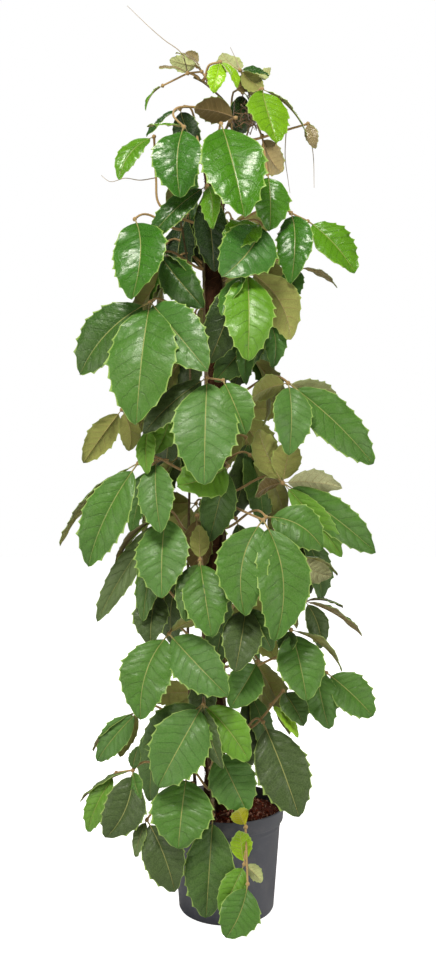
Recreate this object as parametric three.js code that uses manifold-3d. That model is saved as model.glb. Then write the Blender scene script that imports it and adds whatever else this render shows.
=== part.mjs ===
// A potted chestnut vine: hand-shaped leaves of toothed leaflets on long stalks,
// borne by four stems that climb a coir pole in a round nursery pot.
// Millimetres, +Z up. The origin is the centre of the pot's base, -Y is the front.
import * as THREE from "three";
import { mergeVertices } from "three/addons/utils/BufferGeometryUtils.js";
import Module from "manifold-3d";

const wasm = await Module();
wasm.setup();

// Driving dimensions
const CLEARANCE = 0.3;
const POT = {
  height: 212, rimRadius: 120, baseRadius: 97.5, neckRadius: 114, wall: 2, floor: 3,
  collar: 30, collarStep: 3, lip: 2, foot: 4, sides: 28, drains: 6, drainRadius: 7, drainRing: 70,
};
const SOIL = { top: 194, bumps: 6, sides: 16, rings: 2 };
const POLE = { x: -24, y: 5, radius: 22, bottom: 40, top: 1585, sides: 10, levels: 6, rough: 1.2 };
const STEM = { sides: 5, step: 96, footDepth: 70 };
const STALK = { root: 3.1, end: 2.3, sides: 4, steps: 3, perSpot: 1, rise: 0.3 };
const TENDRIL = { root: 1.5, end: 0.8, sides: 4, stepsEach: 3 };
const HUB = { radius: 5.5, back: 2.5 };
const BLADE = {
  thickness: 0.9, neck: 0.08, neckHalf: 1.5, neckThick: 2.2, bow: 0.1, fold: 0.16, wave: 0.05,
  tooth: 0.1, toothLean: 0.72, widest: 0.9, full: 0.72,
};
// Teeth on each side of a blade, by the least width that has so many.
const TEETH = [[120, 4], [90, 3], [0, 2]];

// Leaves were measured from the front, from this eye point, so a spot is given by
// its place across and up in the plane of the pot's axis, and how far it stands in
// front of that plane along the line of sight.
const EYE = { distance: 1950, side: -17.4, height: 880 };

// The share of a leaf's bearing round the pole by which its blades turn from the front.
const FACING_SHARE = 0.25;

// The stems. foot is where a stem leaves the soil, bearing and reach say where it runs
// beside the pole, sway is how far its bearing wanders, and top lists its last spots.
const STEMS = {
  left: {
    node: "stem_left", foot: [-26, -66], radius: 4, tip: 2, bearing: -50, reach: 28, sway: 9,
    joins: 430, leaves: 1500,
    top: [[-22, 1570, 34], [6, 1625, 26], [-4, 1664, 12], [-26, 1687, 8], [-48, 1706, 10], [-68, 1716, 15]],
  },
  right: {
    node: "stem_right", foot: [20, -48], radius: 3.6, tip: 1.6, bearing: 42, reach: 28, sway: 8,
    joins: 450, leaves: 1520, top: [[51, 1631, 0], [45, 1689, -5], [34, 1722, -8]],
  },
  outer: {
    node: "stem_left_outer", foot: [-62, -34], radius: 3.4, tip: 2, bearing: -66, reach: 58, sway: 7,
    joins: 500, leaves: 1380, top: [[-96, 1425, 26]],
  },
  back: {
    node: "leafy_stem_back", foot: [-20, 52], radius: 4, tip: 2, bearing: 176, reach: 29, sway: 8,
    joins: 420, leaves: 1500, top: [[-22, 1560, -50]],
  },
};

// One row per leaf, from the top down. from is the height at which its stalk leaves the
// stem, and stalk lists the spots it passes and ends at the hub. A knot is a further spot
// that carries a leaflet, on a small stalk from the hub. A blade is the spot of its tip,
// its width, its turn about its own midrib, the share of its length by which the midrib
// bends sideways, and the knot it grows from, if not the hub. A turn of 0 shows the upper
// side to the front, 90 the edge and 180 the underside. A tendril starts at its first spot.
const LEAVES = [
  {
    name: "leaf_01", stem: "left", from: 1717, stalk: [[-80, 1724, 20]],
    knots: [[-132, 1698, 32], [-51, 1727, 24]],
    blades: [
      [-167, 1646, 44, 30, 50, 0, 0], [-140, 1735, 44, 36, 40, -0.1], [-105, 1766, 30, 44, 60, -0.1, 1],
    ],
    tendrils: [[[-80, 1724, 20], [-94, 1766, 8], [-129, 1793, 6], [-158, 1818, 4], [-206, 1864, 0]]],
  },
  {
    name: "leaf_02", stem: "left", from: 1700, stalk: [[-36, 1740, 22], [-13, 1747, 28]],
    blades: [[-28, 1683, 50, 36, 0], [22, 1693, 45, 34, -40]],
  },
  {
    name: "leaf_03", stem: "right", from: 1712, stalk: [[28, 1730, 4]],
    blades: [[-9, 1766, -20, 60, 180], [76, 1691, 14, 38, -160], [88, 1718, 0, 34, -30]],
    tendrils: [[[28, 1730, 4], [20, 1752, -12], [8, 1778, -10]]],
  },
  {
    name: "leaf_04", stem: "right", from: 1650, stalk: [[74, 1691, 30]],
    blades: [[105, 1579, 80, 84, -5, -0.06], [167, 1594, 30, 40, -55]],
  },
  { name: "leaf_05", stem: "left", from: 1606, stalk: [[20, 1631, 52]], blades: [[-67, 1650, 68, 52, 120]] },
  {
    name: "leaf_06", stem: "left", from: 1628,
    stalk: [[-45, 1651, 26], [-101, 1652, 50], [-110, 1636, 72], [-88, 1612, 90]],
    blades: [[-96, 1465, 130, 94, 0, -0.04], [-165, 1613, 80, 56, 55]],
  },
  {
    name: "leaf_07", stem: "left", from: 1400, stalk: [[-138, 1450, 30], [-146, 1507, 34], [-150, 1592, 50]],
    blades: [[-223, 1502, 90, 50, 5, -0.08]],
    tendrils: [[[-146, 1507, 34], [-179, 1502, 30], [-210, 1506, 28], [-241, 1499, 28], [-260, 1512, 26]]],
  },
  { name: "leaf_08", stem: "left", from: 1560, stalk: [[-11, 1619, 100]], blades: [[38, 1424, 190, 114, 0]] },
  {
    name: "leaf_09", stem: "right", from: 1630, stalk: [[74, 1594, 60]], knots: [[86, 1514, 78]],
    blades: [[115, 1519, 105, 52, -120, 0.1], [90, 1397, 100, 74, 0, 0, 0]],
  },
  {
    name: "shoot_right", stem: "right", from: 1580, stalk: [[124, 1606, 0], [169, 1619, 5]],
    blades: [[184, 1567, 20, 26, 30], [190, 1600, -5, 24, -50]],
    tendrils: [
      [[124, 1606, 0], [122, 1550, 8], [128, 1502, 10], [132, 1475, 10]],
      [[169, 1619, 5], [180, 1555, -8], [182, 1486, -6]],
    ],
  },
  {
    name: "leaf_11", stem: "outer", from: 1390, stalk: [[-190, 1421, 60]],
    blades: [[-196, 1254, 130, 104, 0, 0.12]],
  },
  {
    name: "leaf_12", stem: "left", from: 1450, stalk: [[-40, 1490, 80]],
    blades: [[-165, 1372, 100, 56, 15], [-28, 1401, 130, 44, 30, 0.12], [-24, 1312, 56, 64, 0]],
  },
  {
    name: "leaf_13", stem: "right", from: 1380, stalk: [[74, 1411, 100]],
    blades: [[-9, 1301, 165, 104, 0, 0.08], [-5, 1361, 140, 68, 20]],
  },
  {
    name: "leaf_14", stem: "right", from: 1400, stalk: [[134, 1434, 50]], knots: [[169, 1417, 56]],
    blades: [[134, 1287, 110, 70, 35, 0.08], [267, 1310, 70, 82, -5, 0, 0]],
  },
  {
    name: "leaf_15", stem: "right", from: 1300, stalk: [[149, 1320, 20]],
    blades: [[230, 1279, 20, 40, -70], [138, 1253, 50, 46, 20, -0.1]],
  },
  {
    name: "leaf_16", stem: "outer", from: 1215, stalk: [[-158, 1249, 85]],
    blades: [[-304, 1098, 60, 100, 0, -0.05], [-187, 994, 170, 130, 0, 0.03], [-38, 1106, 190, 96, 0]],
  },
  {
    name: "leaf_17", stem: "left", from: 1310, stalk: [[-138, 1347, 55]],
    blades: [[-48, 1237, 100, 70, 15], [-66, 1296, 88, 44, -70]],
  },
  {
    name: "leaf_18", stem: "right", from: 1290, stalk: [[43, 1314, 115]],
    blades: [
      [-9, 1220, 160, 50, 50], [45, 1127, 190, 90, 0], [134, 1171, 110, 76, -150, -0.12], [-36, 1122, 74, 76, 0],
    ],
  },
  {
    name: "leaf_19", stem: "right", from: 1180, stalk: [[86, 1212, 52]],
    blades: [[97, 1112, 82, 42, 20, 0.1], [41, 1077, 96, 40, 20, -0.12], [-24, 1084, 58, 74, 0]],
  },
  {
    name: "leaf_20", stem: "left", from: 1060, stalk: [[-40, 1092, 135]], knots: [[-7, 1087, 146]],
    blades: [[-46, 870, 220, 116, 0], [41, 975, 180, 68, 0, 0, 0], [-173, 975, 135, 60, 20]],
  },
  {
    name: "leaf_21", stem: "outer", from: 1010, stalk: [[-120, 1040, 70]], knots: [[-160, 990, 88]],
    blades: [[-148, 934, 100, 58, -10, 0.1], [-163, 892, 132, 40, 10, 0, 0]],
  },
  {
    name: "leaf_22", stem: "outer", from: 990, stalk: [[-217, 1026, 30]],
    blades: [[-297, 915, 25, 54, 140], [-202, 940, 60, 42, 150, -0.12]],
  },
  {
    name: "leaf_23", stem: "right", from: 1040, stalk: [[128, 1081, 110]],
    blades: [
      [130, 932, 160, 74, 0], [304, 913, 90, 88, 0], [53, 1050, 150, 54, 130], [236, 1040, 60, 50, -125],
    ],
  },
  {
    name: "leaf_24", stem: "right", from: 850, stalk: [[117, 874, 90]],
    blades: [
      [66, 985, 115, 58, 180], [136, 963, 100, 58, 180], [240, 864, 80, 52, -130],
      [59, 845, 115, 44, 120], [310, 729, 50, 72, 0], [240, 720, 78, 52, 10],
    ],
  },
  {
    name: "leaf_25", stem: "right", from: 780, stalk: [[82, 803, 116]],
    blades: [[200, 737, 146, 80, 0, 0.12], [163, 731, 122, 44, -75]],
  },
  {
    name: "leaf_26", stem: "right", from: 700, stalk: [[153, 722, 40]],
    blades: [[219, 681, 50, 56, 180, 0.12], [231, 683, 30, 40, -80]],
  },
  {
    name: "leaf_27", stem: "right", from: 830, stalk: [[16, 824, 90], [76, 797, 150]],
    blades: [[38, 598, 215, 94, 0, -0.13], [101, 546, 200, 98, 0, 0.1]],
  },
  {
    name: "leaf_28", stem: "left", from: 880, stalk: [[3, 909, 110]],
    blades: [[-102, 868, 165, 88, 5, 0.1], [-36, 752, 100, 66, 0]],
  },
  {
    name: "leaf_29", stem: "outer", from: 890, stalk: [[-183, 915, 110]], knots: [[-146, 921, 98]],
    blades: [[-136, 770, 165, 68, 0, 0, 0], [-287, 700, 100, 90, 0], [-345, 743, 60, 60, 80]],
  },
  {
    name: "leaf_30", stem: "outer", from: 770, stalk: [[-125, 808, 90]],
    blades: [
      [-134, 635, 180, 98, 0], [-233, 700, 75, 40, 85], [-173, 586, 130, 58, 15],
      [-268, 586, 50, 50, 0], [-219, 700, 60, 24, 60],
    ],
  },
  {
    name: "leaf_31", stem: "left", from: 690, stalk: [[-55, 714, 130]],
    blades: [[-84, 586, 190, 62, 0], [-30, 554, 205, 82, 0], [-57, 787, 120, 36, 180], [-2, 560, 96, 64, 0]],
  },
  {
    name: "leaf_32", stem: "left", from: 540, stalk: [[-119, 561, 120]],
    blades: [[-178, 382, 185, 94, 0, -0.08], [3, 432, 215, 86, 0], [-34, 590, 160, 40, -110]],
  },
  { name: "leaf_33", stem: "outer", from: 620, stalk: [[-144, 648, 78]], blades: [[-158, 538, 130, 68, 0]] },
  {
    name: "leaf_34", stem: "right", from: 590, stalk: [[41, 619, 140]],
    blades: [[18, 482, 205, 72, 0], [95, 525, 165, 48, 0]],
  },
  { name: "leaf_35", stem: "right", from: 490, stalk: [[66, 505, 130]], blades: [[8, 407, 175, 66, 0]] },
  {
    name: "leaf_36", stem: "right", from: 540, stalk: [[134, 569, 110]],
    blades: [[167, 422, 175, 90, 0], [122, 519, 135, 40, 40], [240, 484, 126, 56, -85]],
  },
  {
    name: "leaf_37", stem: "right", from: 610, stalk: [[163, 629, 52]],
    blades: [[196, 530, 64, 46, 0, 0.05], [281, 556, 50, 55, -80], [242, 615, 50, 45, -80]],
  },
  {
    name: "leaf_38", stem: "right", from: 350, stalk: [[59, 372, 60], [117, 442, 80]], knots: [[92, 414, 84]],
    blades: [[161, 370, 130, 52, 0], [149, 345, 120, 26, -20, 0, 0]],
  },
  {
    name: "leaf_39", stem: "right", from: 470, stalk: [[185, 500, 40]], knots: [[208, 480, 44]],
    blades: [[304, 390, 60, 78, 0, 0, 0], [213, 363, 80, 70, 0, -0.08]],
  },
  { name: "leaf_40", stem: "right", from: 330, stalk: [[76, 378, 90]], blades: [[151, 181, 150, 102, 0]] },
  {
    name: "leaf_41", stem: "left", from: 390, stalk: [[-48, 415, 140]],
    blades: [
      [-142, 243, 190, 104, 0], [-173, 326, 150, 74, 0], [47, 297, 190, 70, 0, 0.05], [-7, 281, 205, 46, 40],
    ],
  },
  { name: "leaf_42", stem: "left", from: 290, stalk: [[-19, 320, 110]], blades: [[43, 191, 150, 86, 0]] },
  { name: "leaf_43", stem: "left", from: 250, stalk: [[-82, 268, 130]], blades: [[-100, 115, 195, 112, 0]] },
  {
    name: "leaf_44", stem: "outer", from: 380, stalk: [[-183, 399, 85]],
    blades: [[-277, 318, 60, 50, 80], [-268, 297, 80, 56, 5], [-221, 305, 95, 34, 150]],
  },
  {
    name: "leaf_45", stem: "outer", from: 262, stalk: [[-194, 278, 105]], knots: [[-229, 273, 96]],
    blades: [
      [-177, 216, 140, 40, 30], [-250, 138, 130, 80, 0, 0.14], [-287, 150, 90, 48, 10, 0, 0],
      [-304, 212, 80, 48, 80], [-183, 328, 110, 24, 0],
    ],
  },
  {
    name: "leaf_46", stem: "outer", from: 232, stalk: [[-165, 175, 122]],
    blades: [[-107, 25, 165, 78, 0, 0.08], [-188, 98, 140, 36, 35]],
  },
  { name: "leaf_47", stem: "left", from: 228, stalk: [[-28, 185, 128]], blades: [[-42, -28, 152, 90, 0]] },
  {
    name: "leaf_48", stem: "right", from: 228, stalk: [[36, 215, 115], [40, 160, 152]],
    knots: [[37, 83, 165], [44, 42, 190]],
    blades: [
      [-13, -18, 205, 48, 0, 0, 0], [-1, -70, 222, 72, 0, 0.05, 1], [74, 46, 188, 28, -150, 0, 0],
      [28, 152, 184, 40, 180, 0, 0], [24, 196, 178, 34, 180],
    ],
  },
];

// The inner leaves of the back stem fill the gaps that can be seen between the front leaves.
// Their rows are read like those above.
const INNER_LEAVES = [
  { from: 1530, stalk: [[34, 1684, -60]], blades: [[16, 1588, -66, 58, 0], [82, 1604, -62, 50, -20]] },
  { from: 1520, stalk: [[-96, 1650, -50]], blades: [[-166, 1592, -50, 46, 30], [-62, 1560, -62, 58, 0]] },
  { from: 1480, stalk: [[-62, 1556, -62]], blades: [[-70, 1404, -64, 56, 0]] },
  { from: 1390, stalk: [[-80, 1432, -58]], blades: [[-98, 1272, -62, 84, 0], [-44, 1318, -66, 54, 0]] },
  { from: 1310, stalk: [[-124, 1372, -48]], blades: [[-176, 1222, -54, 70, 10]] },
  { from: 1190, stalk: [[34, 1228, -60]], blades: [[14, 1064, -66, 72, 0], [76, 1070, -60, 66, 0]] },
  { from: 1150, stalk: [[-66, 1190, -60]], blades: [[-74, 1040, -64, 66, 0]] },
  { from: 950, stalk: [[40, 968, -60]], blades: [[8, 800, -66, 76, 0], [76, 786, -62, 76, 0]] },
  { from: 780, stalk: [[20, 800, -62]], blades: [[30, 660, -66, 66, 0]] },
  { from: 970, stalk: [[-108, 1008, -52]], blades: [[-124, 846, -58, 76, 0], [-66, 862, -64, 50, 0]] },
  { from: 860, stalk: [[-150, 912, -40]], blades: [[-196, 770, -50, 62, 10]] },
  { from: 660, stalk: [[-92, 700, -58]], blades: [[-112, 538, -62, 76, 0]] },
  { from: 700, stalk: [[158, 772, -40]], blades: [[196, 632, -50, 66, -10], [150, 610, -54, 60, 0]] },
  { from: 430, stalk: [[44, 446, -60]], blades: [[30, 268, -68, 74, 0], [86, 300, -62, 50, 0]] },
  { from: 380, stalk: [[-128, 402, -64]], blades: [[-158, 214, -84, 74, 0]] },
];

// The leaves of the back stem follow a rule: the hubs wind round the back and both sides as
// the stem climbs, and the leaflets fan out from each hub, at the sides to the back alone.
const BACK = {
  leaves: 12, lowest: 410, highest: 1560, bearings: [197, 110, 165, 242], reach: 128, nearReach: 78,
  fan: [-88, -32, 26, 84], lengths: [0.62, 0.96, 1, 0.64], length: 176, slim: 0.44, lean: 0.34,
  sides: [[720, 98], [1140, 98], [930, 256], [1350, 256]],
};

// Colours and finishes
const finish = (color, roughness) => new THREE.MeshStandardMaterial({ color, roughness, metalness: 0 });
const potPlastic = finish(0x585a66, 0.5);
const pottingSoil = finish(0x46241a, 0.95);
const coirFibre = finish(0x4a3226, 0.95);
const stemBark = finish(0x5a4430, 0.8);
const leafGreen = finish(0x46703f, 0.35);

// Even draws from 0 to 1 that come out the same on every run.
function seededDraw(seed) {
  let state = (seed * 48271) % 2147483647;
  return () => {
    state = (state * 16807) % 2147483647;
    return state / 2147483647;
  };
}

const radians = THREE.MathUtils.degToRad;
const vector = (x, y, z) => new THREE.Vector3(x, y, z);

// The real place of a spot measured from the front.
function spot([across, up, front]) {
  const share = (EYE.distance - front) / EYE.distance;
  return vector(EYE.side + (across - EYE.side) * share, -front, EYE.height + (up - EYE.height) * share);
}

// The level direction of a bearing: 0 is the front, 90 the right, 180 the back.
const levelDirection = (bearing) => vector(Math.sin(radians(bearing)), -Math.cos(radians(bearing)), 0);

// A solid from its corner points and triangles, turned right side out.
function solidOf(points, triangles) {
  const vertProperties = new Float32Array(points.flatMap((p) => [p.x, p.y, p.z]));
  const whole = triangles.filter(([a, b, c]) => a !== b && b !== c && c !== a);
  let volume = 0;
  for (const [a, b, c] of whole) volume += points[a].dot(points[b].clone().cross(points[c]));
  const facing = volume < 0 ? whole.map(([a, b, c]) => [a, c, b]) : whole;
  const triVerts = new Uint32Array(facing.flat());
  return new wasm.Manifold(new wasm.Mesh({ numProp: 3, vertProperties, triVerts }));
}

// A solid from one of three's closed geometries.
function solidFrom(geometry) {
  const bare = geometry.index ? geometry.toNonIndexed() : geometry.clone();
  for (const name of Object.keys(bare.attributes)) if (name !== "position") bare.deleteAttribute(name);
  const merged = mergeVertices(bare, 1e-3);
  const place = merged.attributes.position;
  const points = [];
  for (let i = 0; i < place.count; i += 1) points.push(vector().fromBufferAttribute(place, i));
  const triangles = [];
  for (let i = 0; i < merged.index.count; i += 3) {
    triangles.push([0, 1, 2].map((k) => merged.index.getX(i + k)));
  }
  return solidOf(points, triangles);
}

// The geometry of a solid, for a mesh.
function geometryOf(solid) {
  const { vertProperties, triVerts } = solid.getMesh();
  const geometry = new THREE.BufferGeometry();
  geometry.setAttribute("position", new THREE.BufferAttribute(new Float32Array(vertProperties), 3));
  geometry.setIndex(new THREE.BufferAttribute(new Uint32Array(triVerts), 1));
  geometry.computeVertexNormals();
  return geometry;
}

// The outer body of joined solids, with any hollow that they seal between them filled.
function joined(solids) {
  const bodies = solids.reduce((whole, part) => whole.add(part)).decompose();
  return bodies.reduce((largest, body) => (body.volume() > largest.volume() ? body : largest));
}

// A round rod along a curve, thinning evenly from one radius to the other.
function rod(curve, steps, sides, startRadius, endRadius) {
  const { normals, binormals } = curve.computeFrenetFrames(steps, false);
  const centres = [];
  const points = [];
  const triangles = [];
  for (let step = 0; step <= steps; step += 1) {
    const centre = curve.getPointAt(step / steps);
    const radius = THREE.MathUtils.lerp(startRadius, endRadius, step / steps);
    centres.push(centre);
    for (let side = 0; side < sides; side += 1) {
      const angle = (2 * Math.PI * side) / sides;
      points.push(
        centre.clone()
          .addScaledVector(normals[step], radius * Math.cos(angle))
          .addScaledVector(binormals[step], radius * Math.sin(angle)),
      );
      if (step === steps) continue;
      const a = step * sides + side;
      const b = step * sides + ((side + 1) % sides);
      triangles.push([a, b, b + sides], [a, b + sides, a + sides]);
    }
  }
  for (let side = 2; side < sides; side += 1) {
    const last = steps * sides;
    triangles.push([0, side, side - 1], [last, last + side - 1, last + side]);
  }
  return { solid: solidOf(points, triangles), centres };
}

// Pot: a thin moulded shell with a collar under its lip and drain holes in its base.
function wallRadius(z) {
  return THREE.MathUtils.lerp(POT.baseRadius, POT.neckRadius, z / POT.height);
}

function potSolid() {
  const { height, rimRadius, wall, floor, collar, collarStep, lip, foot } = POT;
  const collarBottom = height - collar;
  const shelf = collarBottom - wall;
  const outline = [
    [0, 0], [POT.baseRadius - foot, 0], [wallRadius(foot), foot], [wallRadius(collarBottom), collarBottom],
    [rimRadius - collarStep, collarBottom + 1], [rimRadius, height - lip], [rimRadius - lip / 2, height],
    [rimRadius - lip * 1.4, height - lip / 2],
    [rimRadius - collarStep - wall, collarBottom + wall], [wallRadius(shelf) - wall, shelf],
    [wallRadius(floor) - wall, floor], [0, floor],
  ];
  const profile = outline.map(([radius, z]) => new THREE.Vector2(radius, z));
  const shell = solidFrom(new THREE.LatheGeometry(profile, POT.sides).rotateX(Math.PI / 2));
  let pot = shell;
  for (let i = 0; i < POT.drains; i += 1) {
    const angle = (2 * Math.PI * i) / POT.drains;
    const hole = new THREE.CylinderGeometry(POT.drainRadius, POT.drainRadius, 4 * floor, 8)
      .rotateX(Math.PI / 2)
      .translate(POT.drainRing * Math.cos(angle), POT.drainRing * Math.sin(angle), floor / 2);
    pot = pot.subtract(solidFrom(hole));
  }
  return pot;
}

// Soil: it fills the pot to below the collar, with a lumpy top.
function soilSolid(holes) {
  const draw = seededDraw(41);
  const bottom = POT.floor + CLEARANCE;
  const inner = (z) => (wallRadius(z) - POT.wall) * Math.cos(Math.PI / POT.sides) - CLEARANCE;
  const shoulder = POT.height - POT.collar - POT.wall - 1;
  const points = [vector(0, 0, bottom)];
  const rings = [[inner(bottom), bottom, 0], [inner(shoulder), shoulder, 0]];
  for (let ring = 0; ring < SOIL.rings; ring += 1) {
    rings.push([(inner(shoulder) * (SOIL.rings - ring)) / (SOIL.rings + 0.35), SOIL.top, SOIL.bumps]);
  }
  for (const [radius, z, bumps] of rings) {
    for (let side = 0; side < SOIL.sides; side += 1) {
      const angle = (2 * Math.PI * side) / SOIL.sides;
      const height = z + bumps * (draw() - 0.5);
      points.push(vector(radius * Math.cos(angle), radius * Math.sin(angle), height));
    }
  }
  points.push(vector(0, 0, SOIL.top));
  const last = points.length - 1;
  const triangles = [];
  for (let side = 0; side < SOIL.sides; side += 1) {
    const next = (side + 1) % SOIL.sides;
    triangles.push([0, 1 + next, 1 + side]);
    for (let ring = 0; ring + 1 < rings.length; ring += 1) {
      const a = 1 + ring * SOIL.sides + side;
      const b = 1 + ring * SOIL.sides + next;
      triangles.push([a, b, b + SOIL.sides], [a, b + SOIL.sides, a + SOIL.sides]);
    }
    const top = 1 + (rings.length - 1) * SOIL.sides;
    triangles.push([top + side, top + next, last]);
  }
  return holes.reduce((soil, hole) => soil.subtract(hole), solidOf(points, triangles));
}

// Pole: a rough round bar of coir that reaches down into the soil.
function poleSolid(grow) {
  const draw = seededDraw(73);
  const points = [];
  const triangles = [];
  for (let level = 0; level <= POLE.levels; level += 1) {
    const z = THREE.MathUtils.lerp(POLE.bottom, POLE.top, level / POLE.levels);
    for (let side = 0; side < POLE.sides; side += 1) {
      const angle = (2 * Math.PI * (side + 0.5 * (level % 2))) / POLE.sides;
      const radius = POLE.radius + grow - POLE.rough * draw();
      points.push(vector(POLE.x + radius * Math.cos(angle), POLE.y + radius * Math.sin(angle), z - grow));
      if (level === POLE.levels) continue;
      const a = level * POLE.sides + side;
      const b = level * POLE.sides + ((side + 1) % POLE.sides);
      const odd = level % 2 === 1;
      if (odd) triangles.push([a, b, b + POLE.sides], [a, b + POLE.sides, a + POLE.sides]);
      else triangles.push([a, b, a + POLE.sides], [b, b + POLE.sides, a + POLE.sides]);
    }
  }
  for (let side = 2; side < POLE.sides; side += 1) {
    const last = POLE.levels * POLE.sides;
    triangles.push([0, side, side - 1], [last, last + side - 1, last + side]);
  }
  return solidOf(points, triangles);
}

// Stems: each stands in the soil, leans to the pole, follows it up and leaves it at the top.
function stemCurve(stem) {
  const [x, y] = stem.foot;
  const points = [vector(x, y, SOIL.top - STEM.footDepth), vector(x, y, SOIL.top + 12)];
  for (let z = stem.joins; z <= stem.leaves; z += 90) {
    const bearing = stem.bearing + stem.sway * Math.sin(z / 130);
    points.push(levelDirection(bearing).multiplyScalar(stem.reach).add(vector(POLE.x, POLE.y, z)));
  }
  return new THREE.CatmullRomCurve3([...points, ...stem.top.map(spot)], false, "centripetal");
}

function growStem(stem, grow = 0) {
  const curve = stemCurve(stem);
  const steps = Math.round(curve.getLength() / STEM.step);
  return rod(curve, steps, STEM.sides, stem.radius + grow, stem.tip + grow);
}

// Where a stem's axis is, and how thick the stem is, at a height.
function stemAt(stem, centres, z) {
  let step = 0;
  while (step + 2 < centres.length && centres[step + 1].z < z) step += 1;
  const share = (z - centres[step].z) / (centres[step + 1].z - centres[step].z);
  const along = (step + share) / (centres.length - 1);
  const centre = centres[step].clone().lerp(centres[step + 1], THREE.MathUtils.clamp(share, 0, 1));
  const tangent = centres[step + 1].clone().sub(centres[step]).normalize();
  return { centre, tangent, radius: THREE.MathUtils.lerp(stem.radius, stem.tip, along) };
}

// Leaflet: an arched blade with a midrib fold and forward-leaning teeth, on a short neck.
function bladeSolid(base, tip, facing, form, seed) {
  const { width, turn, bend } = form;
  const draw = seededDraw(seed);
  const teeth = TEETH.find(([least]) => width >= least)[1];
  const length = base.distanceTo(tip);
  const along = tip.clone().sub(base).normalize();
  const up = facing.clone().addScaledVector(along, -facing.dot(along)).normalize();
  up.applyAxisAngle(along, radians(turn));
  const side = new THREE.Vector3().crossVectors(up, along);
  const bow = BLADE.bow * length * (0.6 + 0.8 * draw());
  const fold = BLADE.fold * (0.4 + 1.2 * draw());
  const halfAt = (u) => 0.5 * width * Math.sin(Math.PI * u ** BLADE.widest) ** BLADE.full;
  const place = (t, across, lift) =>
    base.clone()
      .addScaledVector(along, t * length)
      .addScaledVector(up, 4 * t * (1 - t) * bow + lift)
      .addScaledVector(side, 4 * t * (1 - t) * bend * length + across);
  const points = [];
  const add = (point) => points.push(point) - 1;
  const atBlade = (u) => BLADE.neck + (1 - BLADE.neck) * u;
  const apex = add(place(1, 0, 0));
  const root = add(place(-HUB.back / length, 0, 0));
  const [left, right] = [1, -1].map((sign) =>
    add(place(BLADE.neck, sign * BLADE.neckHalf, BLADE.neckThick / 2)));
  const under = add(place(BLADE.neck, 0, -BLADE.neckThick / 2));
  const stations = [{ top: [left, left, right], bottom: [under, under, under] }];
  for (let i = 1; i < teeth; i += 1) {
    const half = halfAt(i / teeth);
    const waves = [0, 1].map(() => fold * half + BLADE.wave * width * (draw() - 0.5));
    const corners = (offset) =>
      [[0, 0], [half, waves[0]], [-half, waves[1]]].map(([across, lift]) =>
        add(place(atBlade(i / teeth), across, lift + offset)));
    stations.push({ top: corners(BLADE.thickness / 2), bottom: corners(-BLADE.thickness / 2) });
  }
  const triangles = [[left, stations[1].top[0], right]];
  for (const [from, to] of [[left, under], [under, right], [right, left]]) triangles.push([root, to, from]);
  for (const [i, sign] of [[1, 1], [2, -1]]) {
    const turned = (a, b, c) => triangles.push(sign > 0 ? [a, b, c] : [a, c, b]);
    const both = (a, b, c) => {
      turned(a.top, b.top, c.top);
      turned(a.bottom, c.bottom, b.bottom);
    };
    const corner = (index, k) => ({ top: stations[index].top[k], bottom: stations[index].bottom[k] });
    const single = (index) => ({ top: index, bottom: index });
    for (let k = 0; k < teeth; k += 1) {
      const last = k === teeth - 1;
      const edge = corner(k, i);
      const rib = k === 0 ? edge : corner(k, 0);
      const nextRib = last ? single(apex) : corner(k + 1, 0);
      const nextEdge = last ? nextRib : corner(k + 1, i);
      const u = (k + BLADE.toothLean) / teeth;
      const out = halfAt(u) + BLADE.tooth * width * (last ? 0.35 : 0.6 + 0.3 * draw());
      const tooth = single(add(place(atBlade(u), sign * out, fold * out)));
      both(rib, edge, nextRib);
      both(edge, nextEdge, nextRib);
      both(edge, tooth, nextEdge);
      turned(edge.top, edge.bottom, tooth.top);
      turned(tooth.top, nextEdge.bottom, nextEdge.top);
    }
  }
  return solidOf(points, triangles);
}

// A leaf stalk that rises from the stem and arches out to the hub.
function stalkCurve(root, outward, spots) {
  const hub = spots[spots.length - 1];
  const start = root.clone().addScaledVector(outward, 3 * STALK.root);
  if (spots.length > 1) return new THREE.CatmullRomCurve3([root, start, ...spots], false, "centripetal");
  const reach = root.distanceTo(hub);
  const first = root.clone().addScaledVector(outward, 0.35 * reach);
  const second = hub.clone().addScaledVector(outward, -0.3 * reach);
  second.z += STALK.rise * reach;
  return new THREE.CubicBezierCurve3(root, first, second, hub);
}

function tendrilSolid(spots) {
  const curve = new THREE.CatmullRomCurve3(spots, false, "centripetal");
  return rod(curve, TENDRIL.stepsEach * (spots.length - 1), TENDRIL.sides, TENDRIL.root, TENDRIL.end).solid;
}

// The small stalk from a hub to a knot.
function stalkletSolid(hub, knot) {
  return rod(new THREE.LineCurve3(hub, knot), 1, STALK.sides, STALK.end, STALK.end).solid;
}

const hubKnob = (hub) => solidFrom(new THREE.OctahedronGeometry(HUB.radius).translate(hub.x, hub.y, hub.z));

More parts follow.
